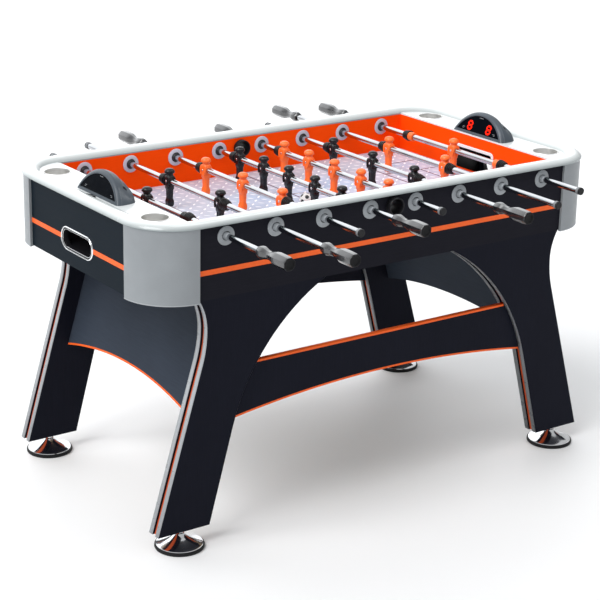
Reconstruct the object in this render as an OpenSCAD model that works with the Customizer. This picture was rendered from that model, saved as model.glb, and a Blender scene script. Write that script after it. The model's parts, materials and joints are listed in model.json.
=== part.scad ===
// Foosball table: a cabinet on four splayed legs, with eight rods that slide and
// spin, two ball entries, two goals with ball returns, and two electronic scorers.
// The origin is on the floor below the middle of the playfield. +X runs along the
// table, -Y is the side of the black team's handles, and +Z is up.

/* [Playfield] */
// Length of the playfield between the end walls
field_len = 1148; // [1146:1:1150]
// Width of the playfield between the side walls
field_w = 659; // [657:1:661]
// Height of the playing surface above the floor
field_z = 718; // [714:1:720]
// Thickness of the playfield board
field_t = 6; // [4:1:6]

/* [Cabinet] */
// Length over the two end panels
cab_len = 1402; // [1400:1:1404]
// Width over the two side panels
cab_w = 742; // [741:1:744]
// Height of the panels' lower edge above the floor
cab_bottom = 640; // [636:1:644]
// Height of the walls' upper edge above the floor
wall_top = 822; // [821:1:824]
// Thickness of the outer panels and of the leg boards
panel_t = 15; // [14:1:15]
// Thickness of the orange inner walls
liner_t = 12; // [11:1:12]
// Outer radius of the corner caps
corner_r = 125; // [120:1:128]
// Wall thickness of the corner caps
cap_t = 9; // [8:0.5:10]
// How far the corner caps stand out past the panels
cap_proud = 7; // [5:0.5:8]

/* [Top rail] */
// How far the rail stands out past the panels
rail_over = 10; // [8:1:11]
// Width of the rounded bead
bead_w = 46; // [40:1:48]
// Height of the flat deck above the walls
deck_t = 4; // [3:0.5:5]
// Height of the bead's crown above the deck
bead_h = 12; // [9:0.5:13]

/* [Rods] */
// Distance between neighbouring rods
rod_pitch = 143; // [142.5:0.5:143]
// Height of the rod axes above the floor
rod_z = 793.5; // [792:0.5:794]
// Outside diameter of the rods
rod_d = 15.88; // [15.8:0.01:15.9]
// Wall thickness of the rods
rod_t = 2; // [1.5:0.25:3]
// Radial running clearance of the bearings and bumpers on a rod
run_gap = 0.08; // [0.06:0.01:0.1]
// Clear length past the bearing at the end of a rod's travel
end_gap = 16; // [12:1:18]
// Clear length between bearing and handle at the end of a rod's travel
grip_gap = 24; // [18:1:26]

/* [Players] */
// Distance from the rod axis down to the foot
man_foot = 69; // [66:0.5:69]
// Distance from the rod axis up to the crown of the head
man_head = 34; // [32:0.5:36]
// Width of a player's torso along the rod
man_w = 28; // [26:1:28]
// Length of a rubber bumper
bumper_len = 24; // [20:1:24]
// Radius of a rubber bumper
bumper_r = 15.5; // [14:0.5:16]

/* [Handles] */
// Length of a handle
grip_len = 125; // [122:1:128]
// Width across the flats of the handle's body
grip_af = 33; // [31:1:35]
// Length of the cap on a rod's plain end
cap_len = 14; // [12:1:16]

/* [Legs] */
// Height of the leg boards' lower edge above the floor
leg_z = 48; // [46:1:52]
// Thickness of the middle leg board and of the long stretcher
core_t = 14; // [13:1:14]
// How far the middle board sits back from the outer boards' edges
core_inset = 6; // [4:1:8]
// Radius of a leveler's base
leveler_r = 63; // [58:1:64]
// Height of the long stretcher's upper edge
stretcher_top = 452; // [440:1:460]
// Height of the long stretcher's lower edge at its middle
stretcher_arch = 347.5; // [340:0.5:360]

/* [Scorers] */
// Depth of a scorer housing at the deck
scorer_depth = 58; // [57:1:59]
// Radius of the window's arch
scorer_r = 107; // [106:0.5:108]
// Height of the window's arch over the deck, along its tilted face
scorer_h = 56.5; // [55:0.5:58]

/* [Fittings] */
// Radius of a cup holder's bore
cup_r = 32.5; // [31:0.5:32.5]
// Depth of a cup holder below the deck
cup_depth = 52; // [40:1:56]
// Radius of the bearing flanges
flange_r = 24; // [22:0.5:25]
// Radius of the ball
ball_r = 17; // [16:0.5:17.5]

/* [Hidden] */
$fn = 64;
eps = 0.01;

// Rods 1 to 8 from the left end: number of players, spacing of the players,
// side of the handle (-1 front, 1 back) and resting offset along Y
rod_men = [1, 2, 3, 5, 5, 3, 2, 1];
men_spacing = [0, 248, 182, 118.7, 118.7, 182, 248, 0];
rod_side = [-1, -1, 1, -1, 1, -1, 1, 1];
rod_rest = [-3, 0, -10, -14, -23, -5, -18, -7];
collar_len = 18;
hub_gap = 0.5;
plug_r = 10;
screw_y = 50;
stop_gap = 1;
fit_gap = 0.05;

half_len = cab_len / 2;
half_w = cab_w / 2;
half_field_l = field_len / 2;
half_field_w = field_w / 2;
wall_mid = (half_w + half_field_w) / 2;
deck_z = wall_top + deck_t;
rail_r = corner_r + rail_over;
cap_drop = 3.5;

nose_out = 16;
nose_in = 8;
nose_r = 9.5;
barrel_r = 13;
hole_gap = 0.1;
bearing_bore = rod_d / 2 + run_gap;

entry_r = 23.5;
entry_barrel_r = 21;
entry_bore = 19;
entry_proud = 18;

goal_half = 85;
goal_h = 64;
goal_frame_w = 9;
goal_frame_t = 2.4;
return_z = 709;
return_w = 150;
return_h = 47;
bezel_w = 8;
box_half = 95;
box_t = 4;

leg_mid_y = half_w - panel_t - core_t / 2;
leg_in_y = half_w - 2 * panel_t - core_t;
leveler_x = 617;
stem_r = 5;
stem_depth = 40;
tab_top = 700;
tab_x = [250, 560];
bolt_x = [300, 350, 470, 530];
bolt_z = 676;
bolt_r = 4;
batten_x = [-420, -260, 0, 260, 420];
batten_t = 18;
floor_t = 10;

// The leg's inner edge leans by in_lean up to a long arc under the apron; its
// outer edge leans by out_lean up to a waist just below the corner cap.
in_lean = 15.1;
in_r = 545;
in_cx = -51.2;
in_cz = 158;
out_lean = 16.5;
waist_x = 551;
waist_z = 563;
waist_low_r = 300;
waist_up_r = 150;
arch_inset = 50;
arch_t = 14;
arch_z = 352;
arch_r = 1300;
stretcher_r = 3067;
stretcher_half = 485;

cup_x = 623;
cup_y = 249.5;
cup_wall = 1.5;
scorer_x = [-652.5, 576.5];
scorer_y = -14.5;
scorer_wall = 3;
scorer_tilt = 16;
scorer_lip = 7;
scorer_sink = scorer_r - scorer_h;
dome_r = 34.5;
dome_mid = scorer_r + 12.8 - dome_r;
dome_back = 14;
flare_end = 63;
digit_y = 39.3;
button_turn = 38;
button_lean = 30;
button_r = 6;
button_gap = 0.3;
ball_pos = [-33, -41];

// Layout of rod n, counted from 1 at the left end
function rod_x(n) = (n - 4.5) * rod_pitch;
function outer_y(n) = rod_men[n - 1] == 1
    ? 182 + man_w / 2 - collar_len / 2
    : (rod_men[n - 1] - 1) / 2 * men_spacing[n - 1];
function outer_half(n) = rod_men[n - 1] == 1 ? collar_len / 2 : man_w / 2;
function bumper_y(n) = outer_y(n) + outer_half(n) + hub_gap;
function travel(n) = half_field_w - nose_in - stop_gap - bumper_y(n) - bumper_len;
function plain_end(n) = half_w + nose_out + end_gap + cap_len + travel(n);
function grip_start(n) = half_w + nose_out + grip_gap + travel(n);

// Points of an arc about [cx, cy] from angle a0 to a1
function arc(cx, cy, r, a0, a1, n = 16) =
    [for (i = [0 : n]) let (a = a0 + (a1 - a0) * i / n) [cx + r * cos(a), cy + r * sin(a)]];

// Outline of a right-hand leg in [x, z], drawn in by inset all round
function leg_outline(inset) = let (
    ri = in_r + inset,
    ru = waist_up_r + inset,
    rl = waist_low_r + inset,
    xi = in_cx + ri * cos(in_lean),
    zi = in_cz + ri * sin(in_lean),
    xo = waist_x + waist_low_r - rl * cos(out_lean),
    zo = waist_z - rl * sin(out_lean)
) concat(
    [[xi + tan(in_lean) * (zi - leg_z), leg_z]],
    arc(in_cx, in_cz, ri, in_lean, asin((cab_bottom - in_cz) / ri)),
    arc(waist_x + waist_up_r, waist_z, ru, 180 - asin((cab_bottom - waist_z) / ru), 180, 8),
    arc(waist_x + waist_low_r, waist_z, rl, 180, 180 + out_lean, 8),
    [[xo + tan(out_lean) * (zo - leg_z), leg_z]]
);

// Outer face of an end arch at height z
function arch_x(z) = waist_x + waist_low_r * (1 - cos(out_lean)) - arch_inset
    + tan(out_lean) * (waist_z - waist_low_r * sin(out_lean) - z);

module round_rect(len, w, r) {
    union() {
        square([len - 2 * r, w], center = true);
        square([len, w - 2 * r], center = true);
        for (sx = [-1, 1], sy = [-1, 1])
            translate([sx * (len / 2 - r), sy * (w / 2 - r)]) circle(r);
    }
}

module stadium(w, h) {
    union() {
        square([w - h, h], center = true);
        for (s = [-1, 1]) translate([s * (w - h) / 2, 0]) circle(h / 2);
    }
}

// Turns a profile drawn in [x, z] into a board from y0 to y1
module board_xz(y0, y1) {
    translate([0, y1, 0]) rotate([90, 0, 0]) linear_extrude(y1 - y0) children();
}

// Turns a profile drawn in [y, z] into a board from x0 to x1
module board_yz(x0, x1) {
    translate([x0, 0, 0]) rotate([90, 0, 90]) linear_extrude(x1 - x0) children();
}

module four_corners() {
    for (sx = [0, 1], sy = [0, 1]) mirror([sx, 0, 0]) mirror([0, sy, 0]) children();
}

module both_ends() {
    for (s = [0, 1]) mirror([s, 0, 0]) children();
}

// Bores along Y for the bearings and the ball entry
module side_bores() {
    for (n = [1 : 8])
        translate([rod_x(n), 0, rod_z]) rotate([90, 0, 0])
            cylinder(r = barrel_r + hole_gap, h = cab_w + 2, center = true);
    translate([0, 0, rod_z]) rotate([90, 0, 0])
        cylinder(r = entry_barrel_r + hole_gap, h = cab_w + 2, center = true);
}

// Bolt bores through the front and back walls, up to depth y1 from the middle
module bolt_bores(y1) {
    for (s = [-1, 1], x = bolt_x)
        translate([s * x, 0, bolt_z]) rotate([90, 0, 0])
            cylinder(r = bolt_r + hole_gap, h = 2 * y1, center = true);
}

module side_panels() {
    color("#20252b") difference() {
        for (s = [0, 1]) mirror([0, s, 0])
            translate([-(half_len - corner_r), half_w - panel_t, cab_bottom])
                cube([cab_len - 2 * corner_r, panel_t, wall_top - cab_bottom]);
        side_bores();
        bolt_bores(half_w - 5);
    }
}

module end_panels() {
    color("#2a2e32") both_ends() difference() {
        translate([half_len - panel_t, -(half_w - corner_r), cab_bottom])
            cube([panel_t, cab_w - 2 * corner_r, wall_top - cab_bottom]);
        board_yz(half_len - 2 * panel_t, half_len + panel_t)
            translate([0, return_z]) stadium(return_w + 2 * fit_gap, return_h + 2 * fit_gap);
    }
}

module goal_mouth(grow) {
    top_r = 5 + grow;
    h = goal_h + grow;
    translate([0, field_z + h / 2]) union() {
        translate([0, -top_r / 2]) square([2 * (goal_half + grow), h - top_r], center = true);
        square([2 * (goal_half + grow - top_r), h], center = true);
        for (s = [-1, 1])
            translate([s * (goal_half + grow - top_r), h / 2 - top_r]) circle(top_r);
    }
}

module inner_walls() {
    base_z = cab_bottom + floor_t;
    h = wall_top - base_z;
    color("#ff4a0a") {
        difference() {
            for (s = [0, 1]) mirror([0, s, 0])
                translate([-half_field_l - liner_t, half_field_w, base_z])
                    cube([field_len + 2 * liner_t, liner_t, h]);
            side_bores();
            bolt_bores(half_w);
        }
        both_ends() difference() {
            translate([half_field_l, -half_field_w, base_z]) cube([liner_t, field_w, h]);
            board_yz(half_field_l - liner_t, half_field_l + 2 * liner_t) goal_mouth(0);
        }
    }
}

// Half-round section of the rail's bead, from its outer edge at x = 0 inwards
module bead_profile() {
    crown_r = (pow(bead_w / 2, 2) + pow(bead_h, 2)) / (2 * bead_h);
    half_angle = asin(bead_w / 2 / crown_r);
    polygon(concat(
        [[0, 0], [-bead_w, 0]],
        arc(-bead_w / 2, deck_t + bead_h - crown_r, crown_r, 90 + half_angle, 90 - half_angle, 12)
    ));
}

module top_rail() {
    hl = half_len + rail_over;
    hw = half_w + rail_over;
    color("#f4f6f6") union() {
        translate([0, 0, wall_top]) linear_extrude(deck_t) difference() {
            round_rect(2 * (hl - 1), 2 * (hw - 1), rail_r - 1);
            square([field_len, field_w], center = true);
            for (sx = [-1, 1], sy = [-1, 1])
                translate([sx * cup_x, sy * cup_y]) circle(cup_r + cup_wall + hole_gap);
        }
        for (s = [0, 1]) mirror([0, s, 0])
            translate([-(hl - rail_r), hw, wall_top]) rotate([90, 0, 90])
                linear_extrude(2 * (hl - rail_r)) bead_profile();
        for (s = [0, 1]) mirror([s, 0, 0])
            translate([hl, hw - rail_r, wall_top]) rotate([90, 0, 0])
                linear_extrude(2 * (hw - rail_r)) bead_profile();
        four_corners()
            translate([hl - rail_r, hw - rail_r, wall_top])
                rotate_extrude(angle = 90) translate([rail_r, 0]) bead_profile();
    }
}

module corner_caps() {
    color("#a0a5a8") four_corners()
        translate([half_len - corner_r, half_w - corner_r, cab_bottom - cap_drop])
            rotate_extrude(angle = 90, $fn = 128)
                translate([corner_r + cap_proud - cap_t, 0])
                    square([cap_t, wall_top - cab_bottom + cap_drop]);
}

module playfield() {
    color("#d8d9e8") translate([-half_field_l, -half_field_w, field_z - field_t])
        cube([field_len, field_w, field_t]);
}

// Floor board with the battens that carry the playfield
module cabinet_floor() {
    l = cab_len - 2 * panel_t;
    w = 2 * (half_field_w + liner_t);
    color("#8a7355") union() {
        translate([0, 0, cab_bottom]) linear_extrude(floor_t)
            round_rect(l, w, corner_r - panel_t);
        for (x = batten_x)
            translate([x - batten_t / 2, -half_field_w, cab_bottom])
                cube([batten_t, field_w, field_z - field_t - cab_bottom]);
    }
}

// A bearing half seen as a turned section: radius along x, depth along y from the
// middle of the wall, where face is the depth of the panel's visible face
module bearing_half(face, flange_t, nose) {
    color("#b9bdc2") rotate_extrude() polygon([
        [bearing_bore, 0],
        [barrel_r, 0],
        [barrel_r, face],
        [flange_r, face],
        [flange_r - 1, face + flange_t],
        [nose_r + 2, face + flange_t - 1],
        [nose_r, face + nose],
        [bearing_bore, face + nose]
    ]);
}

module rod_bearings() {
    for (n = [1 : 8], s = [-1, 1])
        translate([rod_x(n), s * wall_mid, rod_z]) {
            rotate([-s * 90, 0, 0]) bearing_half(half_w - wall_mid, 3, nose_out);
            rotate([s * 90, 0, 0]) bearing_half(wall_mid - half_field_w, 3, nose_in);
        }
}

// A ball entry cup: a barrel through half of the wall and a ribbed mouth outside it
module entry_half(face) {
    rib = entry_proud / 6;
    color("#141516") rotate_extrude() polygon(concat(
        [[entry_bore, 0], [entry_barrel_r, 0], [entry_barrel_r, face]],
        [for (i = [0 : 5]) each [
            [i % 2 == 0 ? entry_r : entry_r - 1.5, face + i * rib],
            [i % 2 == 0 ? entry_r : entry_r - 1.5, face + (i + 1) * rib]
        ]],
        [[entry_bore, face + entry_proud]]
    ));
}

module ball_entries() {
    for (s = [-1, 1])
        translate([0, s * wall_mid, rod_z]) {
            rotate([-s * 90, 0, 0]) entry_half(half_w - wall_mid);
            rotate([s * 90, 0, 0]) entry_half(wall_mid - half_field_w);
        }
}

module goal_frames() {
    color("#f0f0f0") both_ends()
        board_yz(half_field_l - goal_frame_t, half_field_l)
            difference() {
                goal_mouth(goal_frame_w);
                goal_mouth(0);
                translate([0, field_z - 5]) square([2 * box_half, 10], center = true);
            }
}

// Tube behind a goal whose sloping floor rolls the ball to the end panel
module ball_return_boxes() {
    x0 = half_field_l + liner_t;
    x1 = half_len - panel_t;
    z0 = cab_bottom + floor_t + 2;
    top = 800;
    color("#17181a") both_ends() difference() {
        translate([x0, -box_half, z0]) cube([x1 - x0, 2 * box_half, top - z0]);
        board_xz(-(box_half - box_t), box_half - box_t)
            polygon([[x0 - 1, field_z - 12], [x1 + 1, return_z - return_h / 2 - 2],
                [x1 + 1, top - box_t], [x0 - 1, top - box_t]]);
    }
}

module ball_return_bezels() {
    lip = 3;
    color("#c9ccce") both_ends() difference() {
        union() {
            board_yz(half_len, half_len + lip)
                translate([0, return_z]) stadium(return_w + 2 * bezel_w, return_h + 2 * bezel_w);
            board_yz(half_len - panel_t, half_len + eps)
                translate([0, return_z]) stadium(return_w, return_h);
        }
        board_yz(half_len - 2 * panel_t, half_len + 2 * lip)
            translate([0, return_z]) stadium(return_w - 4, return_h - 4);
    }
}

module cup_holders() {
    color("#c4c6c7") four_corners() translate([cup_x, cup_y, deck_z - cup_depth])
        rotate_extrude() polygon([
            [0, 0],
            [cup_r + cup_wall, 0],
            [cup_r + cup_wall, cup_depth],
            [cup_r + cup_wall + 3, cup_depth],
            [cup_r + cup_wall + 2.5, cup_depth + 1.2],
            [cup_r, cup_depth + 1.2],
            [cup_r, cup_wall],
            [0, cup_wall]
        ]);
}

// Frame of a scorer: x runs back along its tilted axis, from the middle of the
// window's arch, which lies below the deck
module scorer_axis() {
    translate([-scorer_sink * sin(scorer_tilt), scorer_y,
        deck_z - scorer_sink * cos(scorer_tilt)])
        rotate([0, scorer_tilt, 0]) children();
}

// Section of the housing's dome and flared foot in [radius, depth], drawn in by inset
function dome(inset) = concat(
    arc(dome_mid, dome_back, dome_r - inset, -13, 48),
    [for (p = [[1.5, 44], [7, 52], [18, flare_end]]) [scorer_r + p[0] - inset, p[1]]],
    [[0, flare_end]]
);

// Solid turned about a scorer's axis, kept above height z0 over the deck and in
// front of depth d1
module scorer_form(section, d1, z0) {
    intersection() {
        scorer_axis() rotate([0, 90, 0]) rotate_extrude($fn = 96) polygon(section);
        translate([-scorer_r, scorer_y - 2 * scorer_r, deck_z + z0])
            cube([scorer_r + d1, 4 * scorer_r, 2 * scorer_r]);
    }
}

// Frame of a push button on the housing's front flank, pointing outwards
module at_button() {
    scorer_axis() rotate([button_turn, 0, 0]) translate([dome_back, 0, dome_mid])
        rotate([0, button_lean, 0]) translate([0, 0, dome_r]) children();
}

module scorer_housings() {
    r = scorer_r;
    color("#3c4249") for (x = scorer_x) translate([x, 0, 0]) difference() {
        scorer_form(concat([[0, 0], [r + scorer_wall, 0], [r + 8, 2]], dome(0)),
            scorer_depth, 0);
        scorer_form(concat([[0, -1], [r, -1], [r, 6]], dome(scorer_wall)),
            scorer_depth - scorer_wall, scorer_lip);
        at_button() translate([0, 0, -15]) cylinder(r = button_r + button_gap, h = 30);
    }
}

module scorer_windows() {
    r = scorer_r - hole_gap;
    color("#0c0d10") for (x = scorer_x) translate([x, 0, 0])
        scorer_form([[0, 2], [r, 2], [r, 5], [0, 5]], scorer_depth, scorer_lip);
}

// Circuit board behind a window, with two digit displays and a battery case
module scorer_boards() {
    color("#2c5a3c") for (x = scorer_x) translate([x, 0, 0]) union() {
        scorer_axis() translate([0, 0, scorer_sink + 13]) {
            translate([9.5, -60, -1]) cube([1.6, 120, 26]);
            for (s = [-1, 1]) translate([5.5, s * digit_y - 10, 0]) cube([4, 20, 24]);
        }
        translate([20, scorer_y - 30, deck_z + scorer_lip]) cube([28, 60, 15]);
    }
}

// Push button held in the housing by a flange below the shell
module scorer_button(i) {
    color("#0a0a0b") translate([scorer_x[i], 0, 0]) at_button()
        rotate_extrude() polygon([
            [0, -9], [button_r, -9], [button_r, -6], [button_r + 2, -6],
            [button_r + 2, -4.2], [button_r, -4.2], [button_r, 1], [button_r - 0.8, 1.8],
            [0, 1.8]
        ]);
}

// Front or back pair of outer leg boards on one side of the legs' middle board
module leg_board_pair(y0, y1) {
    both_ends() board_xz(y0, y1) polygon(leg_outline(0));
}

module leg_boards() {
    color("#1b1e24") for (s = [0, 1]) mirror([0, s, 0]) {
        leg_board_pair(-half_w, -half_w + panel_t);
        leg_board_pair(-leg_in_y - panel_t, -leg_in_y);
    }
}

// Both legs' outlines, as the middle boards have them
module core_outlines() {
    for (s = [0, 1]) mirror([s, 0]) polygon(leg_outline(core_inset));
}

// Middle leg boards, each with a tab that is bolted between the cabinet's walls
module leg_cores() {
    y0 = half_w - panel_t - core_t;
    color("#e2592a") for (s = [0, 1]) mirror([0, s, 0]) difference() {
        union() {
            board_xz(y0, y0 + core_t) core_outlines();
            both_ends() translate([tab_x[0], y0, cab_bottom - 1])
                cube([tab_x[1] - tab_x[0], core_t, tab_top - cab_bottom + 1]);
        }
        bolt_bores(half_w);
        for (sx = [-1, 1])
            translate([sx * leveler_x, leg_mid_y, leg_z - 1])
                cylinder(r = stem_r + run_gap, h = stem_depth + 2);
    }
}

// Long boards between the legs, arched below and shaped at their ends to the legs
module stretchers() {
    y0 = half_w - panel_t - core_t;
    low = stretcher_arch - 50;
    color("#1b1e24") for (s = [0, 1]) mirror([0, s, 0])
        board_xz(y0, y0 + core_t) difference() {
            translate([-stretcher_half, low])
                square([2 * stretcher_half, stretcher_top - low]);
            polygon(concat(
                arc(0, stretcher_arch - stretcher_r, stretcher_r, 80, 100, 36),
                [[-stretcher_half - 60, 100], [stretcher_half + 60, 100]]
            ));
            core_outlines();
        }
}

module end_arches() {
    z0 = arch_z - 60;
    reach = leg_in_y;
    color("#33383d") both_ends() difference() {
        board_xz(-reach, reach) polygon([
            [arch_x(z0), z0], [arch_x(cab_bottom), cab_bottom],
            [arch_x(cab_bottom) - arch_t, cab_bottom], [arch_x(z0) - arch_t, z0]
        ]);
        translate([0, 0, arch_z - arch_r]) rotate([0, 90, 0])
            cylinder(r = arch_r, h = cab_len, $fn = 360);
    }
}

module leg_bolts() {
    head = 5;
    color("#777b80") for (sy = [0, 1]) mirror([0, sy, 0]) for (s = [-1, 1], x = bolt_x)
        translate([s * x, 0, bolt_z]) rotate([-90, 0, 0]) union() {
            translate([0, 0, half_field_w - head]) cylinder(r = 7, h = head, $fn = 6);
            translate([0, 0, half_field_w - eps])
                cylinder(r = bolt_r, h = half_w - 7 - half_field_w);
        }
}

// Adjustable foot: rubber-edged base, flared chrome skirt and threaded stem
module leveler(sx, sy) {
    skirt_top = leg_z - 8;
    color("#c8cacc") translate([sx * leveler_x, sy * leg_mid_y, 0]) rotate_extrude() polygon(concat(
        [[0, 0], [leveler_r - 2, 0], [leveler_r, 2], [leveler_r, 8], [leveler_r - 4, 11]],
        [for (i = [0 : 8]) let (u = i / 8)
            [11 + (leveler_r - 18) * pow(1 - u, 1.7), 13 + (skirt_top - 13) * u]],
        [[11, leg_z - 1], [stem_r, leg_z - 1], [stem_r, leg_z + stem_depth], [0, leg_z + stem_depth]]
    ));
}

// Places children on rod n with the rod's axis along Y and the middle at rest
module on_rod(n) {
    translate([rod_x(n), rod_rest[n - 1], rod_z]) children();
}

// Solid of revolution about the rod from y0 to y1
module along_rod(y0, y1, r, bore) {
    translate([0, y1, 0]) rotate([90, 0, 0]) difference() {
        cylinder(r = r, h = y1 - y0);
        translate([0, 0, -1]) cylinder(r = bore, h = y1 - y0 + 2);
    }
}

module rod(n) {
    s = rod_side[n - 1];
    a = -(plain_end(n) - 3);
    b = grip_start(n) + grip_len - 20;
    color("#d5d8da") on_rod(n)
        along_rod(s > 0 ? a : -b, s > 0 ? b : -a, rod_d / 2, rod_d / 2 - rod_t);
}

// One player, standing with the rod through the chest
module man() {
    w = man_w / 2;
    front = [
        [-8, -man_foot], [8, -man_foot], [10, 4 - man_foot], [10, 16 - man_foot],
        [8.5, 21 - man_foot], [9, -30], [11, -18], [w, -9], [w, 6], [w - 2, 12], [8, 15],
        [-8, 15], [2 - w, 12], [-w, 6], [-w, -9], [-11, -18], [-9, -30],
        [-8.5, 21 - man_foot], [-10, 16 - man_foot], [-10, 4 - man_foot]
    ];
    side = [
        [-5, -man_foot], [5, -man_foot], [8, 4 - man_foot], [8, 16 - man_foot],
        [6, 21 - man_foot], [6, -30], [8, -18], [10.5, -8], [10.5, 6], [9, 12], [7, 15],
        [-7, 15], [-9, 12], [-10.5, 6], [-10.5, -8], [-8, -18], [-6, -30],
        [-6, 21 - man_foot], [-8, 16 - man_foot], [-8, 4 - man_foot]
    ];
    difference() {
        union() {
            intersection() {
                board_yz(-20, 20) polygon(front);
                board_xz(-20, 20) polygon(side);
            }
            rotate_extrude() polygon([
                [0, 14], [7.5, 14], [8.5, 20], [13.5, 21], [14, 24],
                [12, 29], [8, 32.5], [0, man_head]
            ]);
        }
        rotate([90, 0, 0]) cylinder(r = rod_d / 2 + fit_gap, h = 3 * man_w, center = true);
    }
}

module men(n) {
    k = rod_men[n - 1];
    color(rod_side[n - 1] < 0 ? "#17181a" : "#ff5a12") on_rod(n) {
        for (i = [0 : k - 1])
            translate([0, (i - (k - 1) / 2) * men_spacing[n - 1], 0]) man();
        if (k == 1) for (s = [-1, 1])
            along_rod(s * outer_y(n) - collar_len / 2, s * outer_y(n) + collar_len / 2,
                12.5, rod_d / 2 + fit_gap);
    }
}

// Ribbed rubber bumper, loose on the rod, with its wide end at y = 0
module bumper() {
    rib = bumper_len / 8;
    bore = rod_d / 2 + run_gap;
    rotate([-90, 0, 0]) rotate_extrude() polygon(concat(
        [[bore, 0]],
        [for (i = [0 : 7]) each [
            [i % 2 == 0 ? bumper_r : bumper_r - 2, i * rib],
            [i % 2 == 0 ? bumper_r : bumper_r - 2, (i + 1) * rib]
        ]],
        [[bore, bumper_len]]
    ));
}

module bumpers(n) {
    color("#1a1b1c") on_rod(n) for (s = [0, 1])
        mirror([0, s, 0]) translate([0, bumper_y(n), 0]) bumper();
}

// Half outline of the handle, from the rod side at y = 0 to its flat end
function grip_half() = let (b = grip_af / 2, k = grip_len / 125) [
    [0, 10], [4 * k, 13], [10 * k, 14.5], [20 * k, 14.5], [28 * k, 12.8], [40 * k, 10],
    [screw_y * k, 10.4], [66 * k, b - 1.5], [78 * k, b], [121 * k, b - 1], [grip_len, b - 3.5]
];

// Eight-sided handle: the outline extruded four ways about the rod, with a blind bore
module grip() {
    half = grip_half();
    n = len(half);
    outline = concat(half, [for (i = [n - 1 : -1 : 0]) [half[i][0], -half[i][1]]]);
    difference() {
        intersection() {
            linear_extrude(2 * grip_af, center = true) rotate(90) polygon(outline);
            rotate([0, 45, 0])
                linear_extrude(2 * grip_af, center = true) rotate(90) polygon(outline);
            rotate([0, 90, 0])
                linear_extrude(2 * grip_af, center = true) rotate(90) polygon(outline);
            rotate([0, 135, 0])
                linear_extrude(2 * grip_af, center = true) rotate(90) polygon(outline);
        }
        translate([0, grip_len - 19, 0]) rotate([90, 0, 0])
            cylinder(r = rod_d / 2 + fit_gap, h = grip_len);
        translate([0, screw_y, -grip_af]) cylinder(r = 3, h = grip_af);
    }
}

// Handle, its locking screw and the cap on the rod's other end
module grip_set(n) {
    s = rod_side[n - 1];
    cap_end = plain_end(n);
    on_rod(n) mirror([0, s > 0 ? 0 : 1, 0]) {
        color("#1d1f21") translate([0, grip_start(n), 0]) grip();
        color("#c8cacc") translate([0, grip_start(n) + screw_y, -10.2])
            cylinder(r = 2.9, h = 2);
        color("#2b2d2f") translate([0, -cap_end, 0]) difference() {
            rotate([-90, 0, 0]) cylinder(r = plug_r, h = cap_len);
            translate([0, 3, 0]) rotate([-90, 0, 0])
                cylinder(r = rod_d / 2 + fit_gap, h = cap_len);
        }
    }
}

module ball() {
    color("#f2f2f2") translate([ball_pos[0], ball_pos[1], field_z + ball_r + fit_gap])
        sphere(r = ball_r);
}

side_panels();
end_panels();
inner_walls();
top_rail();
corner_caps();
playfield();
cabinet_floor();
rod_bearings();
ball_entries();
goal_frames();
ball_return_boxes();
ball_return_bezels();
cup_holders();
scorer_housings();
scorer_windows();
scorer_boards();
scorer_button(0);  // scorer_button_left
scorer_button(1);  // scorer_button_right
leg_boards();
leg_cores();
stretchers();
end_arches();
leg_bolts();
ball();
leveler(-1, -1);  // leveler_1
leveler(1, -1);  // leveler_2
leveler(-1, 1);  // leveler_3
leveler(1, 1);  // leveler_4
for (n = [1 : 8]) {
    rod(n);
    men(n);
    bumpers(n);
    grip_set(n);
}
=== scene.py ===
import json
import math

import bmesh
import bpy
from mathutils import Matrix, Vector


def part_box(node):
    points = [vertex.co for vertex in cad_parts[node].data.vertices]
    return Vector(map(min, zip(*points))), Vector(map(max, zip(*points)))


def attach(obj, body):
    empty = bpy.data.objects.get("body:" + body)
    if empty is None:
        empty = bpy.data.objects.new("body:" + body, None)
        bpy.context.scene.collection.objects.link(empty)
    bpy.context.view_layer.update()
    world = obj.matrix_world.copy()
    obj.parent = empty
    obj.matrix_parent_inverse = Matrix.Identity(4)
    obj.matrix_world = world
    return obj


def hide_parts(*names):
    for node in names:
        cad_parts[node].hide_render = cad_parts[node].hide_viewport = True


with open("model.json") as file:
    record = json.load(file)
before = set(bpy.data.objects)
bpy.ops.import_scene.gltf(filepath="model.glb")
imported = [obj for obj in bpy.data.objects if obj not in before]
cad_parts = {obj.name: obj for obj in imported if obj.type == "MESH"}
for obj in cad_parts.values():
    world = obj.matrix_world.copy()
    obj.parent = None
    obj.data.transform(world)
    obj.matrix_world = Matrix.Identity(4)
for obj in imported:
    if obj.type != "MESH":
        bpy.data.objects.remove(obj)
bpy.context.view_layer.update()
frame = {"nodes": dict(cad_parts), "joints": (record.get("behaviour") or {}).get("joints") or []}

# All lengths below are millimetres in the frame's axes: +X along the table, -Y to
# the front, +Z up. Shape.piece() turns them into metres.
MM = 0.001
NODES = frame["nodes"]
RODS = range(1, 9)
FRONT, BACK = -1, 1
SIDES = {FRONT: "front", BACK: "back"}
ENDS = {-1: "left", 1: "right"}
ROD_MEN = (1, 2, 3, 5, 5, 3, 2, 1)
HANDLE_SIDE = (FRONT, FRONT, BACK, FRONT, BACK, FRONT, BACK, BACK)


def box(node):
    """Lowest and highest corner of a CAD node at rest."""
    low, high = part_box(node)
    return low / MM, high / MM


# ------------ materials


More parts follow.
